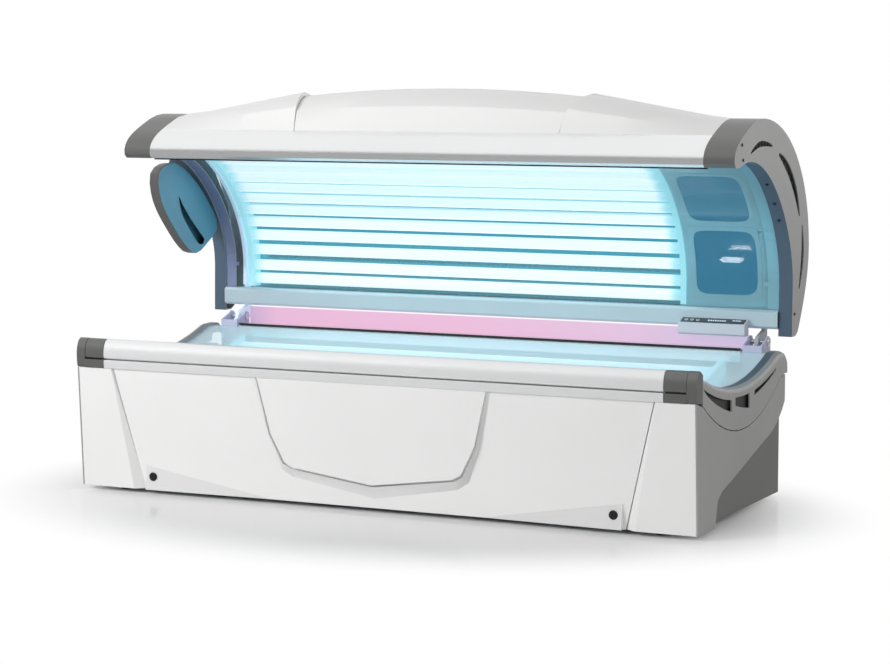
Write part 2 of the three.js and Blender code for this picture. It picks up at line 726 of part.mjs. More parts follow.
function frontPanel() {
  const sheet = [[-panelTopX, FRONT_TOP], [-panelFootX, SKIRT_GAP],
    [panelFootX, SKIRT_GAP], [panelTopX, FRONT_TOP]];
  const shieldHalf = baseHalf - SHIELD_INSET;
  const proud = (z) => -mix(SHIELD_PROUD_FOOT, SHIELD_PROUD_TOP, z / FRONT_TOP);
  const face = (inward, over, depth) => {
    const corners = SHIELD_FACE.map(([x, z]) => [x, z + inward]);
    const half = shieldHalf - SHIELD_BEVEL - inward;
    return shieldRing(half, SHIELD_FACE_TIP + inward, corners, FRONT_TOP + over, depth);
  };
  const floor = (z) => SHIELD_GROOVE_SHARE * proud(z);
  const outside = (z) => 2 * proud(z);
  const channel = loft([face(0, CUT_OVER, floor), face(0, CUT_OVER, outside)]);
  const inner = (depth) => face(SHIELD_GROOVE, 2 * CUT_OVER, depth);
  const island = loft([inner(() => 1), inner((z) => 3 * proud(z))]);
  const foot = shieldRing(shieldHalf, SHIELD_FOOT_TIP, SHIELD_FOOT, FRONT_TOP, () => 1);
  const shield = cut(loft([foot, face(0, 0, proud)]), cut(channel, island));
  const ledge = (side) => {
    const end = side * (panelFootX - LEDGE_END_GAP);
    const tip = end - side * LEDGE_LENGTH;
    const high = [[end, 1, SKIRT_GAP], [end, 1, LEDGE_HEIGHT], [tip, 1, SKIRT_GAP]];
    const corner = [end, -PANEL_FOOT_INSET, SKIRT_GAP];
    const low = [corner, [end, -LEDGE_STEP, LEDGE_HEIGHT], [tip, 0.5, SKIRT_GAP]];
    return loft([high, low]);
  };
  const whole = lean(join(alongY(sheet, 0, PANEL_WALL), shield, ledge(1), ledge(-1)), panelFootY, panelTopY);
  const bore = (x) => roundY(LOCK_RADIUS + RUNNING, -LOCK_LENGTH, LOCK_LENGTH, x, LOCK_Z, 20);
  return cut(whole, bore(lockX), bore(-lockX));
}

// A quarter-turn lock with a slotted face and a cam behind the panel.
function panelLock() {
  const front = mix(panelFootY, panelTopY, LOCK_Z / FRONT_TOP) - PANEL_FOOT_INSET / 2 - LOCK_PROUD;
  const barrel = roundY(LOCK_RADIUS, front, front + LOCK_LENGTH, 0, 0, 20);
  const slotHalf = LOCK_SLOT / 2;
  const slotReach = LOCK_RADIUS * 0.7;
  const slot = box(-slotHalf, slotHalf, front - CUT_OVER, front + LOCK_SLOT_DEEP, -slotReach, slotReach);
  const camHalf = LOCK_CAM_WIDTH / 2;
  const back = front + LOCK_LENGTH;
  const cam = box(-camHalf, camHalf, back - LOCK_CAM_THICK, back, -LOCK_RADIUS, LOCK_CAM);
  return cut(join(barrel, cam), slot);
}

const grooveTop = RAIL_GROOVE_LOW + RAIL_GROOVE;

// Lower band of the front edge, with a tongue that closes the groove behind.
function lowerBand(x0, x1) {
  const tongue = mix(RAIL_FRONT, RAIL_BACK, 0.4);
  const foot = FRONT_TOP + SEAT;
  const outline = [[RAIL_FRONT + 2, foot], [RAIL_BACK, foot], [RAIL_BACK, grooveTop - SEAT],
    [tongue, grooveTop - SEAT], [tongue, RAIL_GROOVE_LOW], [RAIL_FRONT + 1, RAIL_GROOVE_LOW],
    [RAIL_FRONT, mix(foot, RAIL_GROOVE_LOW, 0.6)]];
  return alongX(outline, x0, x1);
}

// Round-fronted upper profile of the front edge.
function bullnose(x0, x1, foot) {
  const crown = BULLNOSE_CROWN;
  const outline = new THREE.Path()
    .moveTo(RAIL_BACK, foot)
    .lineTo(RAIL_BACK, crest(RAIL_BACK) + BULLNOSE_HEEL)
    .lineTo(crown, RAIL_TOP)
    .bezierCurveTo(mix(RAIL_FRONT, crown, 0.47), RAIL_TOP, RAIL_FRONT, mix(grooveTop, RAIL_TOP, 0.72),
      RAIL_FRONT, mix(grooveTop, RAIL_TOP, 0.2))
    .quadraticCurveTo(RAIL_FRONT, foot, RAIL_FRONT + BULLNOSE_NIP, foot);
  return alongX(outline.getPoints(8).map((p) => [p.x, p.y]), x0, x1);
}

function cornerCap() {
  const split = baseHalf - CORNER_OUTER;
  return join(bullnose(split, baseHalf, FRONT_TOP + SEAT), lowerBand(railHalf + SEAT, split + 1));
}

function baseAcrylic() {
  const near = PANEL_WALL + LAYER_GAP;
  const half = baseHalf - TRIM_ROUND - LAYER_GAP;
  return alongX(couchLayer(RAIL_BACK + SEAT, couchBack, near, near + ACRYLIC_THICK), -half, half);
}

const reflectorBack = couchBack - REFLECTOR_MARGIN;
const reflectorFront = RAIL_BACK + REFLECTOR_MARGIN;
const reflectorHalf = baseLampHalf + 2 * HOLDER;

function baseReflector() {
  const near = REFLECTOR_DEPTH + PANEL_WALL;
  return alongX(couchLayer(reflectorFront, reflectorBack, near, near + SHEET), -reflectorHalf, reflectorHalf);
}

function baseLamps() {
  const half = baseLampHalf;
  const low = REFLECTOR_DEPTH + PANEL_WALL - SEAT;
  const [front, back] = [reflectorFront + HOLDER_MARGIN, reflectorBack - HOLDER_MARGIN];
  const holder = couchLayer(front, back, HOLDER_TOP, low, 14);
  const tubes = steps(BASE_LAMPS - 1).map((t) => {
    const y = mix(reflectorFront + LAMP_PITCH, reflectorBack - LAMP_PITCH, t);
    return roundX(LAMP_RADIUS, -half - 1, half + 1, y, crest(y) - LAMP_DEPTH - PANEL_WALL, 8);
  });
  return join(alongX(holder, half, half + HOLDER), alongX(holder, -half - HOLDER, -half), ...tubes);
}

const pan = FRAME_LOW + FRAME_TUBE;
const frameBack = BASE_DEPTH - REAR_SHEET - SEAT;
const strutFoot = [hingeY + STRUT_FOOT[0], HINGE_Z + STRUT_FOOT[1]];

function baseFrame() {
  const t = FRAME_TUBE;
  const half = frameHalf;
  const ribTop = REFLECTOR_DEPTH + PANEL_WALL + SHEET + SEAT;
  const rib = (x) => alongX([...couchLayer(reflectorFront, reflectorBack, ribTop, ribTop).slice(0, 17),
    [reflectorBack, FRAME_LOW + 1], [reflectorFront, FRAME_LOW + 1]], x - RIB_THICK / 2, x + RIB_THICK / 2);
  const end = (side) => {
    const x0 = side > 0 ? half - t : -half;
    const x1 = side > 0 ? half : t - half;
    const stud = side > 0 ? [strutX - STRUT_EYE_THICK, half - 1] : [1 - half, STRUT_EYE_THICK - strutX];
    return [
      box(x0, x1, FRAME_FRONT, frameBack, FRAME_LOW, pan),
      box(x0, x1, FRAME_FRONT, FRAME_FRONT + t, FRAME_LOW, crest(FRAME_FRONT) - PANEL_WALL - POST_SHORT),
      box(x0, x1, frameBack - t, frameBack, FRAME_LOW, FRAME_UPRIGHT_TOP),
      roundX(STRUT_STUD, ...stud, ...strutFoot),
    ];
  };
  const shelf = box(-half, half, frameBack - SHELF_DEPTH, frameBack, BRACKET_FOOT - t, BRACKET_FOOT);
  const beam = (y) => box(-half, half, y, y + t, FRAME_LOW, pan);
  const floor = box(-half, half, FRAME_FRONT, frameBack, pan - FLOOR_SHEET, pan);
  const fanHole = roundZ(FAN_RADIUS, FRAME_LOW - CUT_OVER, pan + CUT_OVER, fanX, fanY, 24);
  const beams = [beam(FRAME_FRONT), beam(frameBack - t)];
  const whole = join(...beams, floor, shelf, rib(ribX), rib(-ribX), ...end(1), ...end(-1));
  return cut(whole, fanHole);
}

function foot() {
  const top = FRAME_LOW - SEAT;
  const profile = [[0, 0], [FOOT_RADIUS, 0], [FOOT_RADIUS, FOOT_PAD * 0.6], [FOOT_STEM, FOOT_PAD],
    [FOOT_STEM, top], [0, top]];
  const lathe = new THREE.LatheGeometry(profile.map(([r, z]) => new THREE.Vector2(r, z)), 20);
  return lathe.rotateX(Math.PI / 2);
}

function ballastTray() {
  const z = pan + SEAT;
  const middle = (FRAME_FRONT + frameBack) / 2;
  const y0 = middle - TRAY_DEPTH / 2;
  const y1 = middle + TRAY_DEPTH / 2;
  const half = trayHalf;
  const pitch = (2 * half) / BALLAST_COUNT;
  const foot = z + TRAY_SHEET - 1;
  const blocks = steps(BALLAST_COUNT - 1).flatMap((t) => {
    const x = mix(-half + pitch / 2, half - pitch / 2, t);
    const [x0, x1] = [x - (pitch * BALLAST_SHARE) / 2, x + (pitch * BALLAST_SHARE) / 2];
    return [box(x0, x1, y0 + BALLAST_MARGIN, middle - BALLAST_SPLIT / 2, foot, foot + BALLAST_HEIGHT),
      box(x0, x1, middle + BALLAST_SPLIT / 2, y1 - BALLAST_MARGIN, foot, foot + BALLAST_HEIGHT)];
  });
  return join(box(-half, half, y0, y1, z, z + TRAY_SHEET), ...blocks);
}

const fanFoot = pan + SEAT;
const fanMotorTop = fanFoot + FAN_HEIGHT * 0.45;

function fanHousing() {
  const half = FAN_FRAME / 2;
  const outer = box(-half, half, -half, half, fanFoot, fanFoot + FAN_HEIGHT);
  const ring = cut(outer, roundZ(FAN_RADIUS, fanFoot - CUT_OVER, fanFoot + FAN_HEIGHT + CUT_OVER, 0, 0, 28));
  const motor = roundZ(FAN_HUB - 2, fanFoot, fanMotorTop, 0, 0);
  const shaft = roundZ(FAN_SHAFT, fanMotorTop - 1, fanFoot + FAN_HEIGHT - 4, 0, 0, 12);
  const reach = FAN_RADIUS + 4;
  const spokeHalf = FAN_SPOKE / 2;
  const spokeTop = fanFoot + FAN_SPOKE_HIGH;
  const spokes = [
    box(-reach, reach, -spokeHalf, spokeHalf, fanFoot, spokeTop),
    box(-spokeHalf, spokeHalf, -reach, reach, fanFoot, spokeTop)];
  return join(ring, motor, shaft, ...spokes);
}

function fanRotor() {
  const z0 = fanMotorTop + RUNNING;
  const z1 = fanFoot + FAN_HEIGHT - FAN_TOP_GAP;
  const hub = roundZ(FAN_HUB, z0, z1, 0, 0);
  const blade = (i) => {
    const [wide, thick] = [FAN_BLADE / 2, FAN_BLADE_THICK / 2];
    const geometry = box(FAN_HUB - CUT_OVER, FAN_RADIUS - FAN_TIP_GAP, -wide, wide, -thick, thick);
    return geometry.rotateX(FAN_PITCH).translate(0, 0, (z0 + z1) / 2).rotateZ((i * 2 * Math.PI) / FAN_BLADES);
  };
  const blades = Array.from({ length: FAN_BLADES }, (_, i) => blade(i));
  return cut(join(hub, ...blades), roundZ(FAN_SHAFT + RUNNING, z0 - CUT_OVER, z1 + CUT_OVER, 0, 0, 12));
}

function rearPanel() {
  const half = frameHalf;
  const sheet = box(-half, half, BASE_DEPTH - REAR_SHEET, BASE_DEPTH, SKIRT_GAP, REAR_PANEL_TOP);
  const shelfHalf = rearRailHalf;
  const shelfFoot = REAR_PANEL_TOP - REAR_SHEET;
  const shelf = box(-shelfHalf, shelfHalf, rearRailBack + SEAT, BASE_DEPTH, shelfFoot, REAR_PANEL_TOP);
  return join(sheet, shelf);
}

function cableGland() {
  const lathe = new THREE.LatheGeometry(GLAND_PROFILE.map(([r, z]) => new THREE.Vector2(r, z)), 16);
  return lathe.translate(glandX, BASE_DEPTH + SEAT, GLAND_Z);
}

function rearRail() {
  const half = rearRailHalf;
  const wall = REAR_RAIL_WALL;
  const low = CREST_TOP - REAR_RAIL_HEIGHT;
  const front = couchBack + SEAT;
  const outline = [[front, low], [rearRailBack, low], [rearRailBack, CREST_TOP],
    [front + REAR_RAIL_BREAK, CREST_TOP], [front, CREST_TOP - REAR_RAIL_BREAK]];
  const top = CREST_TOP - wall;
  const hollow = [[front + wall, low - CUT_OVER],
    [rearRailBack - wall, low - CUT_OVER], [rearRailBack - wall, top],
    [front + wall + REAR_RAIL_BREAK, top], [front + wall, top - REAR_RAIL_BREAK]];
  return cut(alongX(outline, -half, half), alongX(hollow, -half - CUT_OVER, half + CUT_OVER));
}

function neckLight() {
  const half = rearRailHalf;
  const back = neckLightY + NECK_LIGHT_THICK;
  return box(-half, half, neckLightY, back, REAR_PANEL_TOP + SEAT, NECK_LIGHT_TOP);
}

// Box-shaped hinge bracket: two cheeks for the pin, a front cover and a rear web.
function hingeBracket() {
  const front = couchBack + SEAT;
  const back = BASE_DEPTH - REAR_SHEET - SEAT;
  const arc = steps(8).map((t) => {
    const angle = mix(0, Math.PI * 0.8, t);
    return [hingeY + BRACKET_ROUND * Math.cos(angle), HINGE_Z + BRACKET_ROUND * Math.sin(angle)];
  });
  const low = BRACKET_FOOT + SEAT;
  const cheek = [[front, low], [hingeY + BRACKET_ROUND, low], ...arc, [front, HINGE_Z - BRACKET_DROP]];
  const plate = (x) => alongX(cheek, x, x + BRACKET_PLATE);
  const coverTop = HINGE_Z - BRACKET_DROP;
  const cover = box(bracketInnerX, bracketOuterX, front, front + BRACKET_COVER, low, coverTop);
  const webFront = frameBack - SHELF_DEPTH + CUT_OVER;
  const web = box(bracketInnerX, bracketOuterX, webFront, back, low, low + BRACKET_WEB);
  const whole = join(plate(bracketInnerX), plate(bracketOuterX - BRACKET_PLATE), cover, web);
  const boreFrom = bracketInnerX - CUT_OVER;
  const bore = roundX(HINGE_PIN + SEAT, boreFrom, bracketOuterX + CUT_OVER, hingeY, HINGE_Z, 20);
  return cut(whole, bore);
}

function hingePin() {
  const shank = roundX(HINGE_PIN, bracketInnerX - PIN_HEAD + 1, bracketOuterX, 0, 0, 20);
  const headFrom = bracketInnerX - PIN_HEAD;
  return join(shank, roundX(HINGE_PIN + PIN_HEAD, headFrom, bracketInnerX - SEAT, 0, 0, 20));
}

const strutReach = [STRUT_HEAD[0] - STRUT_FOOT[0], STRUT_HEAD[1] - STRUT_FOOT[1]];
const strutLength = Math.hypot(...strutReach);
const strutTilt = Math.atan2(-strutReach[0], strutReach[1]);

// Drawn upright from the strut's lower stud, and tilted by the group that holds it.
function strutCylinder() {
  const half = STRUT_EYE_THICK / 2;
  const eye = roundX(STRUT_EYE, -half, half, 0, 0);
  const tube = roundZ(STRUT_RADIUS, STRUT_EYE - 4, STRUT_TUBE, 0, 0);
  const boreFoot = STRUT_TUBE - ROD_INSERT - ROD_RESERVE;
  const bore = roundZ(ROD_RADIUS + RUNNING, boreFoot, STRUT_TUBE + CUT_OVER, 0, 0);
  return cut(join(eye, tube), bore, roundX(STRUT_STUD + RUNNING, -STRUT_EYE, STRUT_EYE, 0, 0));
}

function strutRod() {
  const half = STRUT_EYE_THICK / 2;
  const shank = roundZ(ROD_RADIUS, STRUT_TUBE - ROD_INSERT, strutLength - STRUT_STUD - STRUT_PLAY - 1, 0, 0);
  const eye = roundX(STRUT_EYE, -half, half, 0, strutLength, 20);
  return cut(join(shank, eye), roundX(STRUT_STUD + STRUT_PLAY, -STRUT_EYE, STRUT_EYE, 0, strutLength, 20));
}

// Canopy

// A tapered slot beside the outer curve of the end cap.
function capVent([from, to, depth, width]) {
  const ts = steps(12);
  const spread = (t) => width * Math.sin(Math.PI * mix(0.04, 0.96, t)) ** 0.6;
  const far = ts.map((t) => beside(outerPath, mix(from, to, t), -depth + spread(t) / 2));
  const near = ts.map((t) => beside(outerPath, mix(from, to, t), -depth - spread(t) / 2));
  return alongX([...far, ...near.reverse()], canopyHalf - CAP_WALL - CUT_OVER, canopyHalf + CUT_OVER);
}

function cheek() {
  const x0 = canopyHalf - CAP_WIDTH;
  const flange = canopyHalf - CAP_RETURN;
  const shell = cut(alongX(capLoop, x0, canopyHalf),
    alongX(inset(capLoop, CAP_WALL), x0 - CUT_OVER, canopyHalf - CAP_WALL));
  const freed = cut(shell,
    alongX(strip(innerPath, 1, innerLength, -CUT_OVER, CAP_WALL + 0.5), x0 - CUT_OVER, flange),
    box(x0 - CUT_OVER, flange, -HINGE_EYE, CANOPY_HEEL[0] + HEEL_CLEAR, 0, HEEL_CLEAR_TOP));
  const innerFace = strip(innerPath, STRIP_FROM, layerEnd, STRIP_STEP, STRIP_STEP + CAP_WALL);
  const inner = alongX(innerFace, flange - STRIP_WIDTH, flange + 1);
  const riserFace = strip(innerPath, STRIP_FROM, layerEnd, 1, STRIP_STEP + CAP_WALL);
  const riser = alongX(riserFace, flange, flange + CAP_WALL);
  return cut(join(freed, inner, riser), ...CAP_VENTS.map(capVent));
}

function canopyRail() {
  const half = canopyHalf - CAP_WIDTH - SEAT;
  return alongX(strip(nosePath, 0, nosePath.getLength() - SEAT, 0, -COVER_WALL, 14), -half, half);
}

// How a cover's crown runs back from its front seam: straight up to a crease, on to its peak, then fading.
function crownProfile(along) {
  const quarter = Math.PI / 2;
  if (along < CREASE_AT) {
    return (CREASE_SHARE * along) / CREASE_AT;
  }
  if (along < CROWN_PEAK) {
    return mix(CREASE_SHARE, 1, Math.sin((quarter * (along - CREASE_AT)) / (CROWN_PEAK - CREASE_AT)));
  }
  const past = Math.min(1, (along - CROWN_PEAK) / (CROWN_LENGTH - CROWN_PEAK));
  return Math.cos(quarter * past) ** 2;
}

function coverCrown(along, x, centre) {
  const reach = Math.abs(x);
  const wing = WING_CROWN * Math.max(0, (wingEndX - reach) / (wingEndX - seamTopX));
  const middle = mix(CENTRE_CROWN, CENTRE_EDGE_CROWN, (reach / seamTopX) ** 2);
  return crownProfile(along) * (centre ? middle : wing);
}

// The slanted seam between the centre cover and a wing: further out on the roof than at the front.
function coverSeam(along) {
  return mix(seamFrontX, seamTopX, Math.min(1, along / (outerLength * 0.22)));
}

// A wing turns in at its seam, so that no gap shows where it stands higher than the centre cover.
function cover(edge0, edge1, centre, columns) {
  const from = SEAT;
  const to = outerLength - (COVER_FOOT - CANOPY_HEEL[1]) * 1.15;
  const rows = [from, ...steps(17).map((t) => mix(CREASE_AT, to, t))];
  const even = steps(columns);
  const shares = centre ? even : [0, RETURN_SHARE, 2 * RETURN_SHARE, ...even.slice(1)];
  const rings = shares.map((t) => {
    const wall = centre || t > RETURN_SHARE ? COVER_WALL : COVER_RETURN;
    const at = (along, inward) => {
      const x = mix(edge0(along), edge1(along), t);
      const [y, z] = beside(outerPath, along, -inward);
      return [x, y, z + coverCrown(along, x, centre)];
    };
    return [...rows.map((along) => at(along, 0)), ...rows.map((along) => at(along, wall)).reverse()];
  });
  return loftSheet(rings);
}

// As loft, with its ends filled by the quads between the outer and inner face.
function loftSheet(rings) {
  const count = rings[0].length;
  const rows = count / 2;
  const last = (rings.length - 1) * count;
  const faces = [];
  for (let ring = 0; ring + 1 < rings.length; ring += 1) {
    for (let i = 0; i < count; i += 1) {
      const a = ring * count + i;
      const b = ring * count + ((i + 1) % count);
      faces.push(a, b, b + count, a, b + count, a + count);
    }
  }
  for (let i = 0; i + 1 < rows; i += 1) {
    const [a, b, c, d] = [i, i + 1, count - 2 - i, count - 1 - i];
    faces.push(a, c, b, a, d, c);
    faces.push(last + a, last + b, last + c, last + a, last + c, last + d);
  }
  const geometry = new THREE.BufferGeometry();
  geometry.setAttribute('position', new THREE.Float32BufferAttribute(rings.flat(2), 3));
  geometry.setIndex(faces);
  return outward(geometry);
}

// Welded frame: an end hoop with hinge arm and strut lever at each side, ribs and long tubes between them.
function canopyFrame() {
  const t = ARM_THICK;
  const hoopNear = FACIAL_DEPTH + FACIAL_THICK + HOOP_CLEAR;
  const hoopTop = strip(innerPath, HOOP_FROM, layerEnd - HOOP_SHORT, hoopNear, hoopNear, 24).slice(0, 25);
  const outerFrom = HOOP_BACK_FROM;
  const outerTo = outerLength - HOOP_BACK_SHORT;
  const hoopDepth = -COVER_WALL - HOOP_GAP;
  const hoopBack = steps(26).map((u) => beside(outerPath, mix(outerTo, outerFrom, u), hoopDepth));
  const riserFront = LOWER_RAIL_BACK + SEAT;
  const armTop = LOWER_RAIL_TOP + ARM_RISE;
  const arm = [[0, -HINGE_EYE], [riserFront + ARM_FOOT, -STUD_COLLAR], [riserFront + ARM_HEAD, armTop],
    [riserFront, armTop], [riserFront, HINGE_EYE + ARM_ELBOW], [0, HINGE_EYE]];
  const lever = (() => {
    const away = new THREE.Vector2(...STRUT_HEAD).normalize().multiplyScalar(STRUT_STUD + STUD_COLLAR - 1);
    return [[away.y, -away.x], [-away.y, away.x], [STRUT_HEAD[0] - away.y, STRUT_HEAD[1] + away.x],
      [STRUT_HEAD[0] + away.y, STRUT_HEAD[1] - away.x]];
  })();
  const end = (side) => {
    const x0 = side * armX - t / 2;
    const x1 = side * armX + t / 2;
    const stud = side > 0 ? [x1 - 1, strutX + STRUT_EYE_THICK] : [-strutX - STRUT_EYE_THICK, x0 + 1];
    const solid = join(alongX([...hoopTop, ...hoopBack], x0, x1), alongX(arm, x0, x1), alongX(lever, x0, x1),
      roundX(HINGE_EYE, x0, x1, 0, 0, 20), roundX(STRUT_STUD + STUD_COLLAR, x0, x1, ...STRUT_HEAD, 16),
      roundX(STRUT_STUD, ...stud, ...STRUT_HEAD));
    return cut(solid, roundX(HINGE_PIN + RUNNING, x0 - CUT_OVER, x1 + CUT_OVER, 0, 0, 20));
  };
  const ribNear = REFLECTOR_DEPTH + SHEET + LAYER_GAP;
  const ribEnd = layerEnd - CANOPY_RIB_SHORT;
  const ribFace = strip(innerPath, CANOPY_RIB_FROM, ribEnd, ribNear, ribNear + CANOPY_RIB_DEPTH);
  const rib = (x) => alongX(ribFace, x - RIB_THICK / 2, x + RIB_THICK / 2);
  const tubeHalf = CANOPY_TUBE / 2;
  const tube = ([y, z]) => box(-armX, armX, y - tubeHalf, y + tubeHalf, z - tubeHalf, z + tubeHalf);
  return join(end(1), end(-1), rib(canopyRibX), rib(-canopyRibX), ...CANOPY_TUBES.map(tube));
}

function canopyAcrylic() {
  const near = STRIP_STEP + CAP_WALL + LAYER_GAP;
  const half = canopyHalf - CAP_RETURN - CAP_WALL - SEAT;
  const sheet = strip(innerPath, ACRYLIC_FROM, layerEnd, near, near + ACRYLIC_THICK, 24);
  return alongX(sheet, -half + CAP_WALL, half - CAP_WALL);
}

function canopyReflector() {
  const from = canopyLampLeft - HOLDER;
  const to = canopyLampRight + HOLDER;
  const sheet = strip(innerPath, CANOPY_REFLECTOR_FROM, layerEnd, REFLECTOR_DEPTH, REFLECTOR_DEPTH + SHEET);
  return alongX(sheet, from, to);
}

function canopyLamps() {
  const first = layerEnd - LAMP_RADIUS - CANOPY_LAMP_FIRST;
  const last = first - (CANOPY_LAMPS - 1) * LAMP_PITCH;
  const [from, to] = [last - CANOPY_HOLDER_OVER, layerEnd - HOLDER_MARGIN];
  const holder = strip(innerPath, from, to, HOLDER_TOP, REFLECTOR_DEPTH - LAYER_GAP, 18);
  const tubes = Array.from({ length: CANOPY_LAMPS }, (_, i) => {
    const [y, z] = beside(innerPath, first - i * LAMP_PITCH, LAMP_DEPTH);
    return roundX(LAMP_RADIUS, canopyLampLeft - 1, canopyLampRight + 1, y, z, 8);
  });
  return join(alongX(holder, canopyLampLeft - HOLDER, canopyLampLeft),
    alongX(holder, canopyLampRight, canopyLampRight + HOLDER - SEAT), ...tubes);
}

const windowAt = (i) => innerLength - WINDOW_FIRST - i * WINDOW_PITCH;
const windowHalf = WINDOW_SIZE / 2;

function windowBlock(i, near, far, spread, count = 8) {
  const middle = windowAt(i);
  const half = windowHalf + spread;
  const block = strip(innerPath, middle - half, middle + half, near, far, count);
  return alongX(block, windowX - half, windowX + half);
}

function facialPanel() {
  const near = FACIAL_DEPTH;
  const face = strip(innerPath, FACIAL_FROM, layerEnd, near, near + FACIAL_THICK, 24);
  const sheet = alongX(face, facialLeft, facialRight);
  const openings = [0, 1].map((i) => windowBlock(i, near - CUT_OVER, near + FACIAL_THICK + CUT_OVER, 0, 12));
  return cut(sheet, ...openings);
}

function facialGlass(i) {
  return windowBlock(i, FACIAL_DEPTH + GLASS_INSET, FACIAL_DEPTH + FACIAL_THICK - GLASS_INSET, -SEAT);
}

// Lamp bucket behind a window: a curved tray with a short high-pressure lamp on two posts.
function facialLamp(i) {
  const near = FACIAL_DEPTH + FACIAL_THICK + LAYER_GAP;
  const hollow = windowBlock(i, near - CUT_OVER, near + BUCKET_DEPTH - BUCKET_WALL, BUCKET_WALL);
  const bucket = cut(windowBlock(i, near, near + BUCKET_DEPTH, 2 * BUCKET_WALL), hollow);
  const [y, z] = beside(innerPath, windowAt(i), near + BUCKET_DEPTH * 0.5);
  const [backY, backZ] = beside(innerPath, windowAt(i), near + BUCKET_DEPTH - BUCKET_WALL + 1);
  const half = BULB_LENGTH / 2;
  const bulb = roundX(BULB_RADIUS, windowX - half, windowX + half, y, z, 10);
  const angle = Math.atan2(backZ - z, backY - y);
  const length = Math.hypot(backY - y, backZ - z);
  const wide = BULB_POST / 2;
  const post = (x) => box(x - wide, x + wide, 0, length, -wide, wide).rotateX(angle).translate(0, y, z);
  return join(bucket, bulb, post(windowX - half + BULB_POST), post(windowX + half - BULB_POST));
}

function lowerRail() {
  const half = canopyHalf - CAP_RETURN - SEAT;
  const round = LOWER_RAIL_ROUND;
  const outline = [[LOWER_RAIL_FRONT, LOWER_RAIL_FOOT + round], [LOWER_RAIL_FRONT + round, LOWER_RAIL_FOOT],
    [LOWER_RAIL_BACK, LOWER_RAIL_FOOT], [LOWER_RAIL_BACK, LOWER_RAIL_TOP],
    [LOWER_RAIL_FRONT + round, LOWER_RAIL_TOP],
    [LOWER_RAIL_FRONT, LOWER_RAIL_TOP - round]];
  const hollow = inset(outline, LOWER_RAIL_WALL);
  return cut(alongX(outline, -half, half), alongX(hollow, -half - CUT_OVER, half + CUT_OVER));
}

const controlBack = LOWER_RAIL_FRONT - SEAT;
const controlTilt = Math.atan2(CONTROL_TOP - CONTROL_LIP, controlBack - CONTROL_FRONT);
const controlFace = new THREE.Matrix4().makeRotationX(controlTilt)
  .setPosition(0, (controlBack + CONTROL_FRONT) / 2, (CONTROL_TOP + CONTROL_LIP) / 2);
const faceHalf = Math.hypot(CONTROL_TOP - CONTROL_LIP, controlBack - CONTROL_FRONT) / 2;
const buttonX = (i) => controlLeft + BUTTON_FIRST + i * BUTTON_PITCH;

function displayBlock(spread, low, high) {
  const half = faceHalf - DISPLAY_MARGIN + spread;
  const left = controlLeft + DISPLAY_MARGIN - spread;
  const right = controlRight - DISPLAY_MARGIN + spread;
  return box(left, right, -half, half, low, high);
}

function buttonBore(i, spread, low, high) {
  return roundZ(BUTTON_RADIUS + spread, low, high, buttonX(i), 0, 14);
}

const buttons = Array.from({ length: BUTTON_COUNT }, (_, i) => i);

function controlHousing() {
  const outline = [[controlBack, CONTROL_FOOT], [controlBack, CONTROL_TOP], [CONTROL_FRONT, CONTROL_LIP],
    [CONTROL_FRONT, CONTROL_FOOT + CONTROL_BREAK], [CONTROL_FRONT + CONTROL_BREAK, CONTROL_FOOT]];
  const recess = displayBlock(SEAT, -DISPLAY_THICK, CUT_OVER).applyMatrix4(controlFace);
  const wells = buttons.map((i) => buttonBore(i, RUNNING, -BUTTON_WELL, CUT_OVER).applyMatrix4(controlFace));
  return cut(alongX(outline, controlLeft, controlRight), recess, ...wells);
}

function controlDisplay() {
  const plate = displayBlock(0, -DISPLAY_THICK + SEAT, DISPLAY_PROUD);
  return cut(plate, ...buttons.map((i) => buttonBore(i, RUNNING, -DISPLAY_THICK - CUT_OVER, CUT_OVER)));
}

function smoothLoop(corners, count) {
  const curve = new THREE.CatmullRomCurve3(corners.map(([y, z]) => new THREE.Vector3(y, z, 0)), true);
  const loop = curve.getSpacedPoints(count).slice(0, -1).map((p) => [p.x, p.y]);
  return THREE.ShapeUtils.isClockWise(loop.map(([x, y]) => new THREE.Vector2(x, y))) ? loop.reverse() : loop;
}

function airNozzle() {
  const x1 = nozzleX;
  const x0 = x1 - NOZZLE_THICK;
  const leaf = smoothLoop(NOZZLE_LEAF, 32);
  const slot = smoothLoop(NOZZLE_SLOT, 24);
  const clips = NOZZLE_CLIPS.map((length) => {
    const half = CLIP_SIZE / 2;
    const outline = strip(innerPath, length - half, length + half, -CLIP_REACH, -LAYER_GAP, 2);
    return alongX(outline, x0 + half, x0 + half + CLIP_SIZE);
  });
  const body = join(alongX(leaf, x0, x1), ...clips);
  return cut(body, alongX(inset(leaf, CAP_WALL), x0 + CAP_WALL, x1 - CAP_WALL),
    alongX(slot, x1 - CAP_WALL - 1, x1 + CUT_OVER));
}

// Assembly

const bed = new THREE.Group();
const base = new THREE.Group();
const canopy = new THREE.Group();
canopy.position.set(0, hingeY, HINGE_Z);
bed.add(base, canopy);

function piece(group, name, geometry, material) {
  const mesh = new THREE.Mesh(geometry, material());
  mesh.name = name;
  group.add(mesh);
  return mesh;
}

function pair(group, name, geometry, material) {
  piece(group, `${name}_right`, geometry, material);
  piece(group, `${name}_left`, mirrored(geometry), material);
}

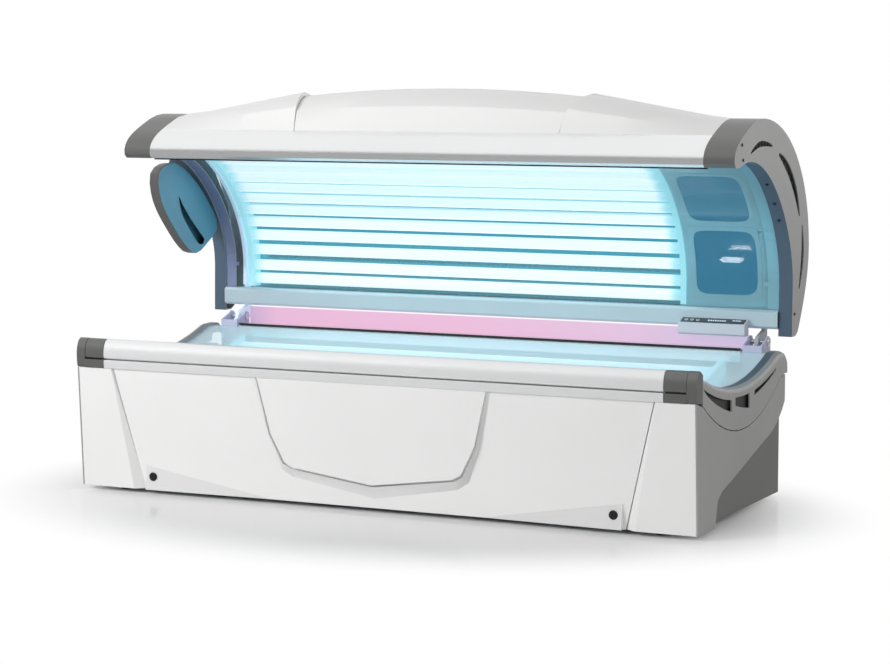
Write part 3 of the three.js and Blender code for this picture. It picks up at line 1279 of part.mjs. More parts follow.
piece(base, 'base_frame', baseFrame(), STEEL);
[['front', FRAME_FRONT + FRAME_TUBE / 2], ['rear', frameBack - FRAME_TUBE / 2]].forEach(([place, y]) => {
  [['left', -1], ['right', 1]].forEach(([side, sign]) => {
    piece(base, `foot_${place}_${side}`, foot(), BLACK).position.set(sign * (frameHalf - FOOT_INSET), y, 0);
  });
});
piece(base, 'front_panel', frontPanel(), WHITE);
pair(base, 'front_post', frontPost(), WHITE);
piece(base, 'front_rail', lowerBand(-railHalf, railHalf), ALUMINIUM);
piece(base, 'bullnose_profile', bullnose(-railHalf, railHalf, grooveTop), ALUMINIUM);
pair(base, 'bullnose_end', bullnose(railHalf + SEAT, baseHalf - CORNER_OUTER - SEAT, grooveTop), GREY);
pair(base, 'corner_cap', cornerCap(), GREY);
pair(base, 'side_panel', sidePanel(), SILVER);
pair(base, 'side_trim', sideTrim(), SILVER);
piece(base, 'rear_panel', rearPanel(), WHITE);
piece(base, 'rear_rail', rearRail(), ALUMINIUM);
piece(base, 'neck_light', neckLight(), ROSE);
piece(base, 'base_acrylic', baseAcrylic(), CLEAR);
piece(base, 'base_reflector', baseReflector(), MIRROR);
piece(base, 'base_lamps', baseLamps(), LAMP);
piece(base, 'ballast_tray', ballastTray(), STEEL);
piece(base, 'base_fan_housing', fanHousing(), BLACK).position.set(fanX, fanY, 0);
piece(base, 'base_fan_rotor', fanRotor(), GREY).position.set(fanX, fanY, 0);
piece(base, 'cable_gland', cableGland(), BLACK);
pair(base, 'hinge_bracket', hingeBracket(), SILVER);
[['left', -1], ['right', 1]].forEach(([side, sign]) => {
  piece(base, `panel_lock_${side}`, panelLock(), BLACK).position.set(sign * lockX, 0, LOCK_Z);
  const strut = new THREE.Group();
  strut.position.set(sign * strutX, ...strutFoot);
  strut.rotation.x = strutTilt;
  base.add(strut);
  piece(strut, `strut_cylinder_${side}`, strutCylinder(), BLACK);
  piece(strut, `strut_rod_${side}`, strutRod(), CHROME);
  const pin = sign > 0 ? hingePin() : mirrored(hingePin());
  piece(base, `hinge_pin_${side}`, pin, CHROME).position.set(0, hingeY, HINGE_Z);
});

piece(canopy, 'canopy_frame', canopyFrame(), STEEL);
const coverEnd = () => canopyHalf - CAP_WIDTH - SEAT;
const centreEdge = (s) => coverSeam(s) - COVER_GAP;
piece(canopy, 'canopy_cover_centre', cover((s) => -centreEdge(s), centreEdge, true, 8), WHITE);
pair(canopy, 'canopy_cover', cover(coverSeam, coverEnd, false, 5), WHITE);
piece(canopy, 'canopy_rail', canopyRail(), ALUMINIUM);
pair(canopy, 'cheek', cheek(), SILVER);
piece(canopy, 'canopy_lower_rail', lowerRail(), ALUMINIUM);
piece(canopy, 'canopy_acrylic', canopyAcrylic(), CLEAR);
piece(canopy, 'canopy_reflector', canopyReflector(), MIRROR);
piece(canopy, 'canopy_lamps', canopyLamps(), LAMP);
piece(canopy, 'facial_panel', facialPanel(), MIRROR);
['lower', 'upper'].forEach((place, i) => {
  piece(canopy, `facial_glass_${place}`, facialGlass(i), BLUE_GLASS);
  piece(canopy, `facial_lamp_${place}`, facialLamp(i), CHROME);
});
piece(canopy, 'control_housing', controlHousing(), SILVER);
const panelFace = new THREE.Group();
panelFace.position.setFromMatrixPosition(controlFace);
panelFace.rotation.x = controlTilt;
canopy.add(panelFace);
piece(panelFace, 'control_display', controlDisplay(), BLACK);
buttons.forEach((i) => {
  piece(panelFace, `button_${i + 1}`, buttonBore(i, 0, -BUTTON_DEEP, BUTTON_PROUD), WHITE);
});
piece(canopy, 'air_nozzle', airNozzle(), GREY);

// The origin lies on the floor under the middle of the bed's box.
const bounds = new THREE.Box3().setFromObject(bed);
bed.position.y = -(bounds.min.y + bounds.max.y) / 2;

export default bed;
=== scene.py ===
# %% [markdown]
# # A clamshell tanning bed
# The bed has a panelled base with a curved acrylic couch, and a lamp canopy that swings on the base's rear
# edge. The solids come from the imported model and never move. This lesson gives them finishes and soft edges,
# and adds the small pieces that a solid model leaves out: seals, screws, louvres, bezels and marks.

# %% Load the solids and keep their box
import math

import bpy
from mathutils import Matrix, Vector


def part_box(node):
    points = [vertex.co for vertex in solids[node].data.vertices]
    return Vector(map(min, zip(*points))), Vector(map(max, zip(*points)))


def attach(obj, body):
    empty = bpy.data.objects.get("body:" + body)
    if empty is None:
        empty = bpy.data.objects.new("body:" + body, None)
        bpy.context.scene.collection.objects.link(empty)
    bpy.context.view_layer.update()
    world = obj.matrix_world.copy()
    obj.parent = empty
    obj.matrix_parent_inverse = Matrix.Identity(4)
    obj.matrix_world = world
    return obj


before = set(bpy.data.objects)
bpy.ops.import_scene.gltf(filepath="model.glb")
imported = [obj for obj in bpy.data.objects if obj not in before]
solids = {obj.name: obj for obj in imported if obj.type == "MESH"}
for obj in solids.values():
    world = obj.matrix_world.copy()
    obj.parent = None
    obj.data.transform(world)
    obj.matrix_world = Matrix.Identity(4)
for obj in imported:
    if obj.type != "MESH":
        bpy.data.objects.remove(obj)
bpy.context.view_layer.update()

SIDES = (("left", -1), ("right", 1))
ORIGIN = (0.0, 0.0, 0.0)

# %% [markdown]
# ## Camera
# The bed is seen from the front right with a long lens, a little above the couch. The place and direction
# come from the vanishing points of the long edges, so the camera is set once and everything is built in
# front of it.

# %% Camera
CAMERA_PLACE = (3.5673, -7.3326, 1.3805)
CAMERA_LOOK = (-0.43389, 0.89495, -0.10400)
FILM_WIDTH = 36.0
FOCAL_LENGTH = 100.2
FAR_CLIP = 80.0

lens = bpy.data.cameras.new("studio_camera")
lens.sensor_width = FILM_WIDTH
lens.lens = FOCAL_LENGTH
lens.clip_end = FAR_CLIP
camera = bpy.data.objects.new("studio_camera", lens)
bpy.context.scene.collection.objects.link(camera)
camera.location = CAMERA_PLACE
camera.rotation_mode = "QUATERNION"
camera.rotation_quaternion = Vector(CAMERA_LOOK).to_track_quat("-Z", "Y")
bpy.context.scene.camera = camera
print("camera at", CAMERA_PLACE)

# %% [markdown]
# ## Helpers for node trees
# World, floor and finishes are all node trees. Each helper adds one node, feeds it with constants or with the
# outputs of other nodes, and hands back the node or what comes out of it, so a tree reads like a formula.

# %% Node helpers
def feed(tree, value, socket):
    """Puts a constant or another node's output into a socket."""
    if isinstance(value, bpy.types.NodeSocket):
        tree.links.new(value, socket)
    else:
        socket.default_value = value


def maths(tree, operation, *values):
    node = tree.nodes.new("ShaderNodeMath")
    node.operation = operation
    for value, socket in zip(values, node.inputs):
        feed(tree, value, socket)
    return node.outputs["Value"]


def vectors(tree, operation, *values):
    node = tree.nodes.new("ShaderNodeVectorMath")
    node.operation = operation
    for value, socket in zip(values, node.inputs):
        feed(tree, value, socket)
    return node


def range_in(tree, value, low, high, from_low=0.0, from_high=1.0, kind="LINEAR"):
    span = tree.nodes.new("ShaderNodeMapRange")
    span.interpolation_type = kind
    span.inputs["From Min"].default_value = from_low
    span.inputs["From Max"].default_value = from_high
    span.inputs["To Min"].default_value = low
    span.inputs["To Max"].default_value = high
    tree.links.new(value, span.inputs["Value"])
    return span.outputs["Result"]


def ramp_in(tree, value, stops, kind="LINEAR"):
    ramp = tree.nodes.new("ShaderNodeValToRGB")
    band = ramp.color_ramp
    band.interpolation = kind
    while len(band.elements) < len(stops):
        band.elements.new(0.5)
    for element, (position, colour) in zip(band.elements, stops):
        element.position = position
        element.color = (*colour, 1.0)
    tree.links.new(value, ramp.inputs["Fac"])
    return ramp.outputs["Color"]


def colour_mix(tree, share, first, second):
    mix = tree.nodes.new("ShaderNodeMix")
    mix.data_type = "RGBA"
    for value, name in ((share, "Factor"), (first, "A"), (second, "B")):
        feed(tree, value, mix.inputs[name])
    return mix.outputs["Result"]


def shader_mix(tree, share, first, second):
    mix = tree.nodes.new("ShaderNodeMixShader")
    feed(tree, share, mix.inputs["Fac"])
    tree.links.new(first.outputs[0], mix.inputs[1])
    tree.links.new(second.outputs[0], mix.inputs[2])
    return mix


print("node helpers ready")

# %% [markdown]
# ## Studio
# The bed stands in a white studio, which looks different to each kind of ray. The camera sees plain white, and
# matt surfaces get the same weak light from all round. Mirroring surfaces see a room that is grey in front,
# from the floor to well above eye level, and white overhead and behind. That grey gives the satin rails their
# shading. A photographed room would do it too, but a ramp over the direction needs no picture.

# %% World and view
WHITE = (1.0, 1.0, 1.0, 1.0)
AMBIENT = 0.33
ROOM_GREYS = ((0.0, 0.36), (0.08, 0.34), (0.26, 0.36), (0.55, 1.0), (1.0, 1.0))
BEHIND_Y = (-0.2, 0.3)

studio = bpy.context.scene
studio.view_settings.view_transform = "Standard"
world = bpy.data.worlds.new("white_studio")
studio.world = world
world.use_nodes = True
sky = world.node_tree
ambient = sky.nodes["Background"]
ambient.inputs["Color"].default_value = WHITE
ambient.inputs["Strength"].default_value = AMBIENT
backdrop = sky.nodes.new("ShaderNodeBackground")
backdrop.inputs["Color"].default_value = WHITE
way = sky.nodes.new("ShaderNodeSeparateXYZ")
sky.links.new(sky.nodes.new("ShaderNodeTexCoord").outputs["Generated"], way.inputs["Vector"])
in_front = ramp_in(sky, way.outputs["Z"], [(at, (grey,) * 3) for at, grey in ROOM_GREYS], "EASE")
behind = range_in(sky, way.outputs["Y"], 0.0, 1.0, *BEHIND_Y)
room = sky.nodes.new("ShaderNodeBackground")
sky.links.new(colour_mix(sky, behind, in_front, WHITE), room.inputs["Color"])
rays = sky.nodes.new("ShaderNodeLightPath").outputs
unseen = shader_mix(sky, rays["Is Glossy Ray"], ambient, room)
seen = maths(sky, "MAXIMUM", rays["Is Camera Ray"], rays["Is Transmission Ray"])
sky.links.new(shader_mix(sky, seen, unseen, backdrop).outputs[0], sky.nodes["World Output"].inputs["Surface"])
print("view transform", studio.view_settings.view_transform)

# %% [markdown]
# The floor is a white sweep. In an oval round the bed it is a diffuse white with a faint gloss, which keeps
# the shadow and a soft reflection. Further out it turns into plain white for rays that see it, so no horizon
# shows. Mirroring surfaces see that outer part dimmed, as a floor that the lamps hardly reach.

# %% Floor
FLOOR_SIZE = 40.0
FLOOR_WHITE = (0.93, 0.93, 0.93, 1.0)
FLOOR_ROUGH = 0.10
FLOOR_SHEEN = 0.20
OVAL_SHIFT = (0.0, 0.16, 0.0)
OVAL_SCALE = (0.62, 0.8, 1.0)
OVAL_FADE = (0.58, 0.96)
MIRRORED_LOSS = 0.62

bpy.ops.object.select_all(action="DESELECT")
bpy.ops.mesh.primitive_plane_add(size=FLOOR_SIZE, location=ORIGIN)
floor = bpy.context.active_object
floor.name = "studio_floor"
sweep = bpy.data.materials.new("studio_sweep")
sweep.use_nodes = True
tree = sweep.node_tree
tree.nodes.remove(tree.nodes["Principled BSDF"])
matt = tree.nodes.new("ShaderNodeBsdfDiffuse")
matt.inputs["Color"].default_value = FLOOR_WHITE
gloss = tree.nodes.new("ShaderNodeBsdfGlossy")
gloss.inputs["Roughness"].default_value = FLOOR_ROUGH
inner = shader_mix(tree, FLOOR_SHEEN, matt, gloss)
oval = tree.nodes.new("ShaderNodeMapping")
oval.inputs["Location"].default_value = OVAL_SHIFT
oval.inputs["Scale"].default_value = OVAL_SCALE
tree.links.new(tree.nodes.new("ShaderNodeTexCoord").outputs["Object"], oval.inputs["Vector"])
reach = vectors(tree, "LENGTH", oval.outputs["Vector"]).outputs["Value"]
far = range_in(tree, reach, 0.0, 1.0, *OVAL_FADE, kind="SMOOTHSTEP")
rays = tree.nodes.new("ShaderNodeLightPath").outputs
seen = maths(tree, "MAXIMUM", rays["Is Camera Ray"], rays["Is Glossy Ray"])
seen = maths(tree, "MAXIMUM", seen, rays["Is Transmission Ray"])
outer = tree.nodes.new("ShaderNodeEmission")
dimmed = maths(tree, "MULTIPLY_ADD", rays["Is Glossy Ray"], -MIRRORED_LOSS, 1.0)
tree.links.new(dimmed, outer.inputs["Strength"])
surface = shader_mix(tree, maths(tree, "MULTIPLY", far, seen), inner, outer)
tree.links.new(surface.outputs[0], tree.nodes["Material Output"].inputs["Surface"])
floor.data.materials.append(sweep)
print("floor", tuple(floor.dimensions))

# %% [markdown]
# Four large soft boxes do the rest: a key from the front left, a weaker fill from the right, one overhead and
# one behind, so that the back is not left in the dark. Mirroring surfaces see the grey room instead of the
# boxes.

# %% Lamps of the studio
SOFT_BOXES = {  # place, target, size and power
    "key_box": ((-3.6, -5.0, 3.0), (0.0, 0.0, 0.6), (3.0, 2.5), 245.0),
    "fill_box": ((4.6, -3.0, 2.2), (0.3, 0.0, 0.6), (2.5, 2.5), 34.0),
    "top_box": ((0.0, 0.4, 4.6), (0.0, 0.1, 0.8), (4.0, 2.0), 12.0),
    "back_box": ((0.6, 5.5, 3.0), (0.0, 0.0, 0.7), (4.0, 2.5), 95.0),
}
for name, (place, target, size, power) in SOFT_BOXES.items():
    light = bpy.data.lights.new(name, "AREA")
    light.shape = "RECTANGLE"
    light.size, light.size_y = size
    light.energy = power
    holder = bpy.data.objects.new(name, light)
    bpy.context.scene.collection.objects.link(holder)
    holder.visible_glossy = False
    holder.location = place
    holder.rotation_euler = (Vector(target) - Vector(place)).to_track_quat("-Z", "Y").to_euler()
print(len(SOFT_BOXES), "soft boxes")

# %% [markdown]
# ## Finishes
# Moulded shells are never one flat colour: the paint drifts a little over a metre, and the skin has a fine
# grain that blurs its highlights. One helper makes that for every moulded and painted finish. A broad noise
# drives the colour, a fine one drives roughness and bump, and constants sit on the shader's own sockets.

# %% Helper for moulded and painted finishes
DRIFT_SCALE = 2.5
DRIFT_STOPS = (0.35, 0.65)
GRAIN_DETAIL = 2.0
GRAIN_DEPTH = 0.0004
ROUGH_SPREAD = 0.05
COAT_ROUGH = 0.12


def new_finish(name):
    """A new material with its node tree and its shader."""
    skin = bpy.data.materials.new(name)
    skin.use_nodes = True
    return skin, skin.node_tree, skin.node_tree.nodes["Principled BSDF"]


def noise_in(tree, place, scale, detail=3.0):
    cloud = tree.nodes.new("ShaderNodeTexNoise")
    cloud.inputs["Scale"].default_value = scale
    cloud.inputs["Detail"].default_value = detail
    tree.links.new(place, cloud.inputs["Vector"])
    return cloud.outputs["Fac"]


def moulded(name, colour, rough, drift=0.03, grain=0.08, grain_scale=900.0, metal=0.0, coat=0.0,
            stretch=None):
    """A painted or moulded skin. stretch draws its grain out, as brushing does."""
    skin, tree, shader = new_finish(name)
    place = tree.nodes.new("ShaderNodeTexCoord").outputs["Object"]
    deep = tuple(c * (1.0 - drift) for c in colour)
    pale = tuple(min(1.0, c * (1.0 + drift)) for c in colour)
    broad = noise_in(tree, place, DRIFT_SCALE)
    tree.links.new(ramp_in(tree, broad, list(zip(DRIFT_STOPS, (deep, pale)))), shader.inputs["Base Color"])
    if stretch:
        pull = tree.nodes.new("ShaderNodeMapping")
        pull.inputs["Scale"].default_value = stretch
        tree.links.new(place, pull.inputs["Vector"])
        place = pull.outputs["Vector"]
    fine = noise_in(tree, place, grain_scale, GRAIN_DETAIL)
    tree.links.new(range_in(tree, fine, rough - ROUGH_SPREAD, rough + ROUGH_SPREAD), shader.inputs["Roughness"])
    bump = tree.nodes.new("ShaderNodeBump")
    bump.inputs["Strength"].default_value = grain
    bump.inputs["Distance"].default_value = GRAIN_DEPTH
    tree.links.new(fine, bump.inputs["Height"])
    tree.links.new(bump.outputs["Normal"], shader.inputs["Normal"])
    shader.inputs["Metallic"].default_value = metal
    shader.inputs["Coat Weight"].default_value = coat
    shader.inputs["Coat Roughness"].default_value = COAT_ROUGH
    return skin


print("helper for moulded finishes ready")

# %% [markdown]
# The shells are white or silver, the end caps dark grey and the rails satin metal. The bevels of the front
# panel get painted shade, a slightly greyer white than its face, because soft light alone would lose so
# shallow a relief. Brushed rails have their grain drawn out along the bed.

# %% Moulded and painted finishes
BRUSHED = (0.08, 12.0, 12.0)
WHITE_SHELL = moulded("white_gloss_shell", (0.84, 0.84, 0.835), 0.30, drift=0.012, grain=0.03, coat=0.25)
# painted shade: the front panel's bevels and ledges are a greyer white than its face
PAINTED_SHADE_WHITE = moulded("white_bevels_painted_shade", (0.74, 0.74, 0.74), 0.34, drift=0.010, grain=0.03)
COVER_WHITE = moulded("white_cover_shell", (0.90, 0.90, 0.895), 0.34, drift=0.010, grain=0.03, coat=0.15)
SILVER = moulded("silver_satin_shell", (0.42, 0.42, 0.415), 0.40, drift=0.03, grain=0.10, metal=0.35)
# painted shade with a painted blue reflection, for the inner strip of the left cheek only
VIOLET_STRIP_PAINTED_SHADE = moulded("violet_strip_painted_shade", (0.22, 0.26, 0.42), 0.36, drift=0.02, grain=0.05)
# painted shade: the set-back end faces of the side panels are painted darker than the shell
RECESS_PAINTED_SHADE = moulded("end_recess_painted_shade", (0.19, 0.19, 0.182), 0.5, drift=0.03, grain=0.14)
CAP_GREY = moulded("dark_grey_cap", (0.165, 0.165, 0.162), 0.36, drift=0.04, grain=0.14, grain_scale=700.0,
                   metal=0.45)
SLATE = moulded("slate_flange", (0.085, 0.13, 0.185), 0.38, drift=0.03, grain=0.08)
TRIM_TOP = moulded("slate_trim_top", (0.09, 0.12, 0.155), 0.4, drift=0.03, grain=0.10)
LAVENDER = moulded("lavender_plastic", (0.60, 0.60, 0.78), 0.38, drift=0.02, grain=0.06)
PALE_PANEL = moulded("pale_control_shell", (0.66, 0.69, 0.76), 0.36, drift=0.02, grain=0.05)
BLACK = moulded("black_moulding", (0.012, 0.012, 0.013), 0.48, drift=0.08, grain=0.14)
RUBBER = moulded("foot_rubber", (0.02, 0.02, 0.02), 0.75, drift=0.1, grain=0.3, grain_scale=500.0)
FRAME_PAINT = moulded("frame_powder_coat", (0.50, 0.51, 0.53), 0.5, drift=0.03, grain=0.25,
                      grain_scale=1400.0)
CHROME = moulded("polished_steel", (0.78, 0.79, 0.80), 0.14, drift=0.02, grain=0.02, metal=1.0)
RAIL = moulded("satin_rail", (0.86, 0.865, 0.87), 0.25, drift=0.012, grain=0.04, grain_scale=60.0, metal=0.9,
               stretch=BRUSHED)
BASE_RAIL = moulded("white_satin_rail", (0.84, 0.845, 0.85), 0.32, drift=0.012, grain=0.04, metal=0.3,
                    coat=0.2)
LOWER_RAIL = moulded("cool_satin_rail", (0.60, 0.74, 0.80), 0.32, drift=0.02, grain=0.05, grain_scale=60.0,
                     metal=0.3, stretch=BRUSHED)
MIRROR = moulded("lamp_reflector", (0.20, 0.50, 0.58), 0.2, drift=0.03, grain=0.02, metal=0.85)
FACE_PANEL = moulded("face_tanner_panel", (0.27, 0.55, 0.65), 0.3, drift=0.06, grain=0.03, metal=0.3,
                     coat=0.2)
DISPLAY = moulded("display_window", (0.03, 0.035, 0.05), 0.12, drift=0.1, grain=0.01, coat=0.5)
print(len(bpy.data.materials), "finishes so far")

# %% [markdown]
# The lit pieces glow evenly along their middle and fall off towards their ends, where the electrodes sit. A
# ramp along the bed sets the glow, and its strength is the shader's own constant. Tanning tubes carry a
# reflector coat on their back, so they shine to the front: their glow also follows the angle between the
# surface and the front.

# %% Helper for lit pieces
LIT_ROUGH = 0.25


def lit(name, ends, stops, strength, body=(0.8, 0.85, 0.88), front=None, shade=None):
    """A glow along the bed between two ends. Where front is given, as (focus, pull, low, high), the glow
    turns to shade on faces that look away from the focus; with a pull of 0 the focus is a direction."""
    glow, tree, shader = new_finish(name)
    shader.inputs["Base Color"].default_value = (*body, 1.0)
    shader.inputs["Roughness"].default_value = LIT_ROUGH
    shader.inputs["Emission Strength"].default_value = strength
    place = tree.nodes.new("ShaderNodeTexCoord").outputs
    split = tree.nodes.new("ShaderNodeSeparateXYZ")
    tree.links.new(place["Object"], split.inputs["Vector"])
    colour = ramp_in(tree, range_in(tree, split.outputs["X"], 0.0, 1.0, *ends), stops)
    if front:
        focus, pull, low, high = front
        towards = vectors(tree, "MULTIPLY_ADD", place["Object"], (0.0, -pull, -pull), focus)
        unit = vectors(tree, "NORMALIZE", towards.outputs["Vector"])
        turn = vectors(tree, "DOT_PRODUCT", unit.outputs["Vector"], place["Normal"])
        share = range_in(tree, turn.outputs["Value"], 0.0, 1.0, low, high)
        colour = colour_mix(tree, share, (*shade, 1.0), colour)
    tree.links.new(colour, shader.inputs["Emission Color"])
    return glow


print("helper for lit pieces ready")

# %% [markdown]
# The canopy's tubes face the middle of its hollow and the couch's tubes face straight up. The rose strip behind
# the neck cools towards the head end. The canopy's end hoop is no lamp, but gets a faint violet glow of painted
# lamplight.

# %% Lit finishes
HINGE_Y, HINGE_Z = 0.3475, 0.508
HOLLOW_Y, HOLLOW_Z = HINGE_Y - 0.330, HINGE_Z + 0.230
TUBE_GLOW = 0.95
TUBE_GLASS = (0.3, 0.4, 0.43)
TUBE_END = (0.03, 0.08, 0.10)
TUBE_DIM = (0.26, 0.58, 0.66)
TUBE_BRIGHT = (0.76, 0.87, 0.91)
TUBE_SHADE = (0.16, 0.50, 0.58)
TUBES = lit("canopy_tube_glow", (-0.960, 0.716),
            [(0.010, TUBE_DIM), (0.035, TUBE_BRIGHT), (0.96, TUBE_BRIGHT), (0.975, TUBE_DIM),
             (0.988, TUBE_SHADE)],
            TUBE_GLOW, TUBE_GLASS, front=((0.0, HOLLOW_Y, HOLLOW_Z), 1.0, -0.35, 0.18), shade=TUBE_SHADE)
COUCH_TUBES = lit("couch_tube_glow", (-0.91, 0.91),
                  [(0.012, TUBE_END), (0.02, TUBE_DIM), (0.06, TUBE_BRIGHT), (0.94, TUBE_BRIGHT),
                   (0.985, TUBE_DIM)],
                  TUBE_GLOW, TUBE_GLASS, front=((0.0, 0.0, 1.0), 0.0, 0.05, 0.62), shade=TUBE_SHADE)
ROSE = lit("rose_light_strip", (-0.942, 0.942),
           [(0.0, (0.58, 0.42, 0.66)), (0.06, (0.84, 0.50, 0.72)), (0.45, (0.87, 0.52, 0.72)),
            (0.75, (0.80, 0.56, 0.77)), (1.0, (0.60, 0.54, 0.77))], 0.85, body=(0.12, 0.08, 0.10))
# painted lamplight: the hoop is no lamp, and its faint violet glow stands in for the lamps' light on it
HOOP_PAINTED_LAMPLIGHT = lit("violet_hoop_painted_lamplight", (-1.0, -0.95), [(0.0, (0.24, 0.28, 0.44)), (1.0, (0.34, 0.46, 0.60))], 0.6)
BULB = lit("face_lamp_bulb", (0.80, 0.93), [(0.0, (0.9, 0.97, 1.0)), (1.0, (1.0, 1.0, 1.0))], 14.0)
MARK = lit("display_mark", (0.7, 0.95), [(0.0, (0.75, 0.85, 0.95)), (1.0, (0.85, 0.9, 0.95))], 0.7)
print("lit finishes made")

# %% [markdown]
# Acrylic and filter glass let the lamps through and mirror them at a low angle. The share of surface against
# clear follows Fresnel, so the couch is clear from above and reflects the canopy when seen along it. The
# couch's sheet and the filter glasses also get a weak glow of painted lamplight, which stands in for the light
# of their lamps scattered in them.

# %% Clear sheets
CLOUD_SCALE = 4.0
CLOUD_STOPS = (0.3, 0.7)
CLOUD_DEPTH = 0.95


def clear_sheet(name, colour, clear, grazing, rough, blend, glow=0.0):
    """A sheet whose alpha goes from clear, seen straight on, to grazing, seen along it."""
    sheet, tree, shader = new_finish(name)
    place = tree.nodes.new("ShaderNodeTexCoord").outputs["Object"]
    deep = tuple(c * CLOUD_DEPTH for c in colour)
    cloud = ramp_in(tree, noise_in(tree, place, CLOUD_SCALE), list(zip(CLOUD_STOPS, (deep, colour))))
    tree.links.new(cloud, shader.inputs["Base Color"])
    shader.inputs["Roughness"].default_value = rough
    # painted lamplight: a weak emission in the sheet's own colour stands in for the light of its lamps
    shader.inputs["Emission Color"].default_value = (*colour, 1.0)
    shader.inputs["Emission Strength"].default_value = glow
    edge = tree.nodes.new("ShaderNodeLayerWeight")
    edge.inputs["Blend"].default_value = blend
    tree.links.new(range_in(tree, edge.outputs["Fresnel"], clear, grazing), shader.inputs["Alpha"])
    return sheet


CANOPY_ACRYLIC = clear_sheet("canopy_acrylic_sheet", (0.55, 0.85, 0.92), 0.04, 0.22, 0.06, 0.3)
# the couch sheet and the filter glasses glow with painted lamplight, though they are no lamps
COUCH_ACRYLIC = clear_sheet("couch_acrylic_sheet", (0.66, 0.82, 0.88), 0.10, 0.62, 0.05, 0.35, glow=0.28)
FILTER_GLASS = clear_sheet("blue_filter_glass", (0.0, 0.115, 0.210), 0.80, 1.0, 0.06, 0.3, glow=0.6)
print(len(bpy.data.materials), "finishes in all")

# %% [markdown]
# ## Solids: edges and finishes
# Pressed and moulded parts have small rounded edges that catch the light. The solids stay as they are, so the
# rounding is done by modifiers: weld the loose triangles, merge flat faces, bevel the real edges and weight
# the normals, which also smooths the curved faces. A width of 0 leaves the edges sharp: the face panel and its
# glasses are thin curved sheets, on which merged faces would shade in patches.

# %% Soft edges on the solids
WELD_GAP = 0.00001
FLAT_ANGLE = math.radians(0.3)
EDGE_ANGLE = math.radians(32.0)
EDGE_SEGMENTS = 2
NORMAL_WEIGHT = 50
BUTTONS = ["button_1", "button_2", "button_3"]


def both(*names):
    """The left and the right one of each name."""
    return [name + "_" + side for name in names for side, _ in SIDES]


def soften(node, width):
    piece = solids[node]
    bpy.ops.object.select_all(action="DESELECT")
    piece.select_set(True)
    bpy.context.view_layer.objects.active = piece
    bpy.ops.mesh.customdata_custom_splitnormals_clear()
    piece.data.polygons.foreach_set("use_smooth", [True] * len(piece.data.polygons))
    weld = piece.modifiers.new("weld", "WELD")
    weld.merge_threshold = WELD_GAP
    if width > 0.0:
        merge = piece.modifiers.new("flat_faces", "DECIMATE")
        merge.decimate_type = "DISSOLVE"
        merge.angle_limit = FLAT_ANGLE
        merge.delimit = {"MATERIAL"}
        edge = piece.modifiers.new("soft_edge", "BEVEL")
        edge.width = width
        edge.segments = EDGE_SEGMENTS
        edge.limit_method = "ANGLE"
        edge.angle_limit = EDGE_ANGLE
        edge.use_clamp_overlap = True
    even = piece.modifiers.new("even_normals", "WEIGHTED_NORMAL")
    even.weight = NORMAL_WEIGHT


EDGES = {
    0.0: ["facial_panel", "facial_glass_lower", "facial_glass_upper"],
    0.0006: ["neck_light", "control_display", *BUTTONS, "cable_gland", "base_acrylic", "canopy_acrylic",
             *both("foot_front", "foot_rear", "hinge_pin", "strut_cylinder", "strut_rod"), "base_lamps",
             "canopy_lamps", "facial_lamp_lower", "facial_lamp_upper", "base_fan_rotor", "base_fan_housing"],
    0.0012: [*both("cheek", "panel_lock"), "canopy_rail", "bullnose_profile", "front_rail"],
    0.0015: ["front_panel", *both("front_post", "canopy_cover"), "canopy_cover_centre", "canopy_lower_rail",
             "rear_panel", "rear_rail"],
    0.0020: [*both("side_panel", "side_trim"), "control_housing"],
    0.0030: [*both("corner_cap", "bullnose_end", "hinge_bracket"), "air_nozzle"],
}
for width, names in EDGES.items():
    for name in names:
        soften(name, width)
print("edges done on", sum(len(names) for names in EDGES.values()), "solids")

# %% [markdown]
# Most solids take one finish, as a part comes out of one mould or one paint booth. The table goes from the
# finish to its solids, so that what is painted alike stands together.

# %% One finish per solid
def paint(node, *finishes, pick=None):
    """Gives a solid its finishes. pick(centre, normal) tells which one a face takes."""
    mesh = solids[node].data
    mesh.materials.clear()
    for finish in finishes:
        mesh.materials.append(finish)
    if pick:
        for face in mesh.polygons:
            face.material_index = pick(face.center, face.normal)


PLAIN = {
    WHITE_SHELL: [*both("front_post"), "rear_panel", *BUTTONS],
    COVER_WHITE: ["canopy_cover_centre", *both("canopy_cover")],
    LAVENDER: both("hinge_bracket"),
    PALE_PANEL: ["control_housing"],
    CAP_GREY: [*both("corner_cap", "bullnose_end"), "base_fan_rotor"],
    RAIL: ["canopy_rail", "rear_rail"],
    BASE_RAIL: ["bullnose_profile", "front_rail"],
    LOWER_RAIL: ["canopy_lower_rail"],
    ROSE: ["neck_light"],
    CANOPY_ACRYLIC: ["canopy_acrylic"],
    COUCH_ACRYLIC: ["base_acrylic"],
    MIRROR: ["canopy_reflector", "base_reflector"],
    FACE_PANEL: ["facial_panel"],
    FILTER_GLASS: ["facial_glass_lower", "facial_glass_upper"],
    TUBES: ["canopy_lamps"],
    COUCH_TUBES: ["base_lamps"],
    DISPLAY: ["control_display"],
    CHROME: [*both("hinge_pin", "strut_rod"), "facial_lamp_lower", "facial_lamp_upper"],
    BLACK: [*both("panel_lock", "strut_cylinder"), "base_fan_housing", "cable_gland"],
    RUBBER: both("foot_front", "foot_rear"),
    FRAME_PAINT: ["base_frame", "ballast_tray"],
}
for finish, names in PLAIN.items():
    for name in names:
        paint(name, finish)
print("plain finishes on", sum(len(names) for names in PLAIN.values()), "solids")

# %% [markdown]
# The end pieces and the front panel take several finishes. Their faces are told apart by where they are and
# which way they look, as a painter would mask them.

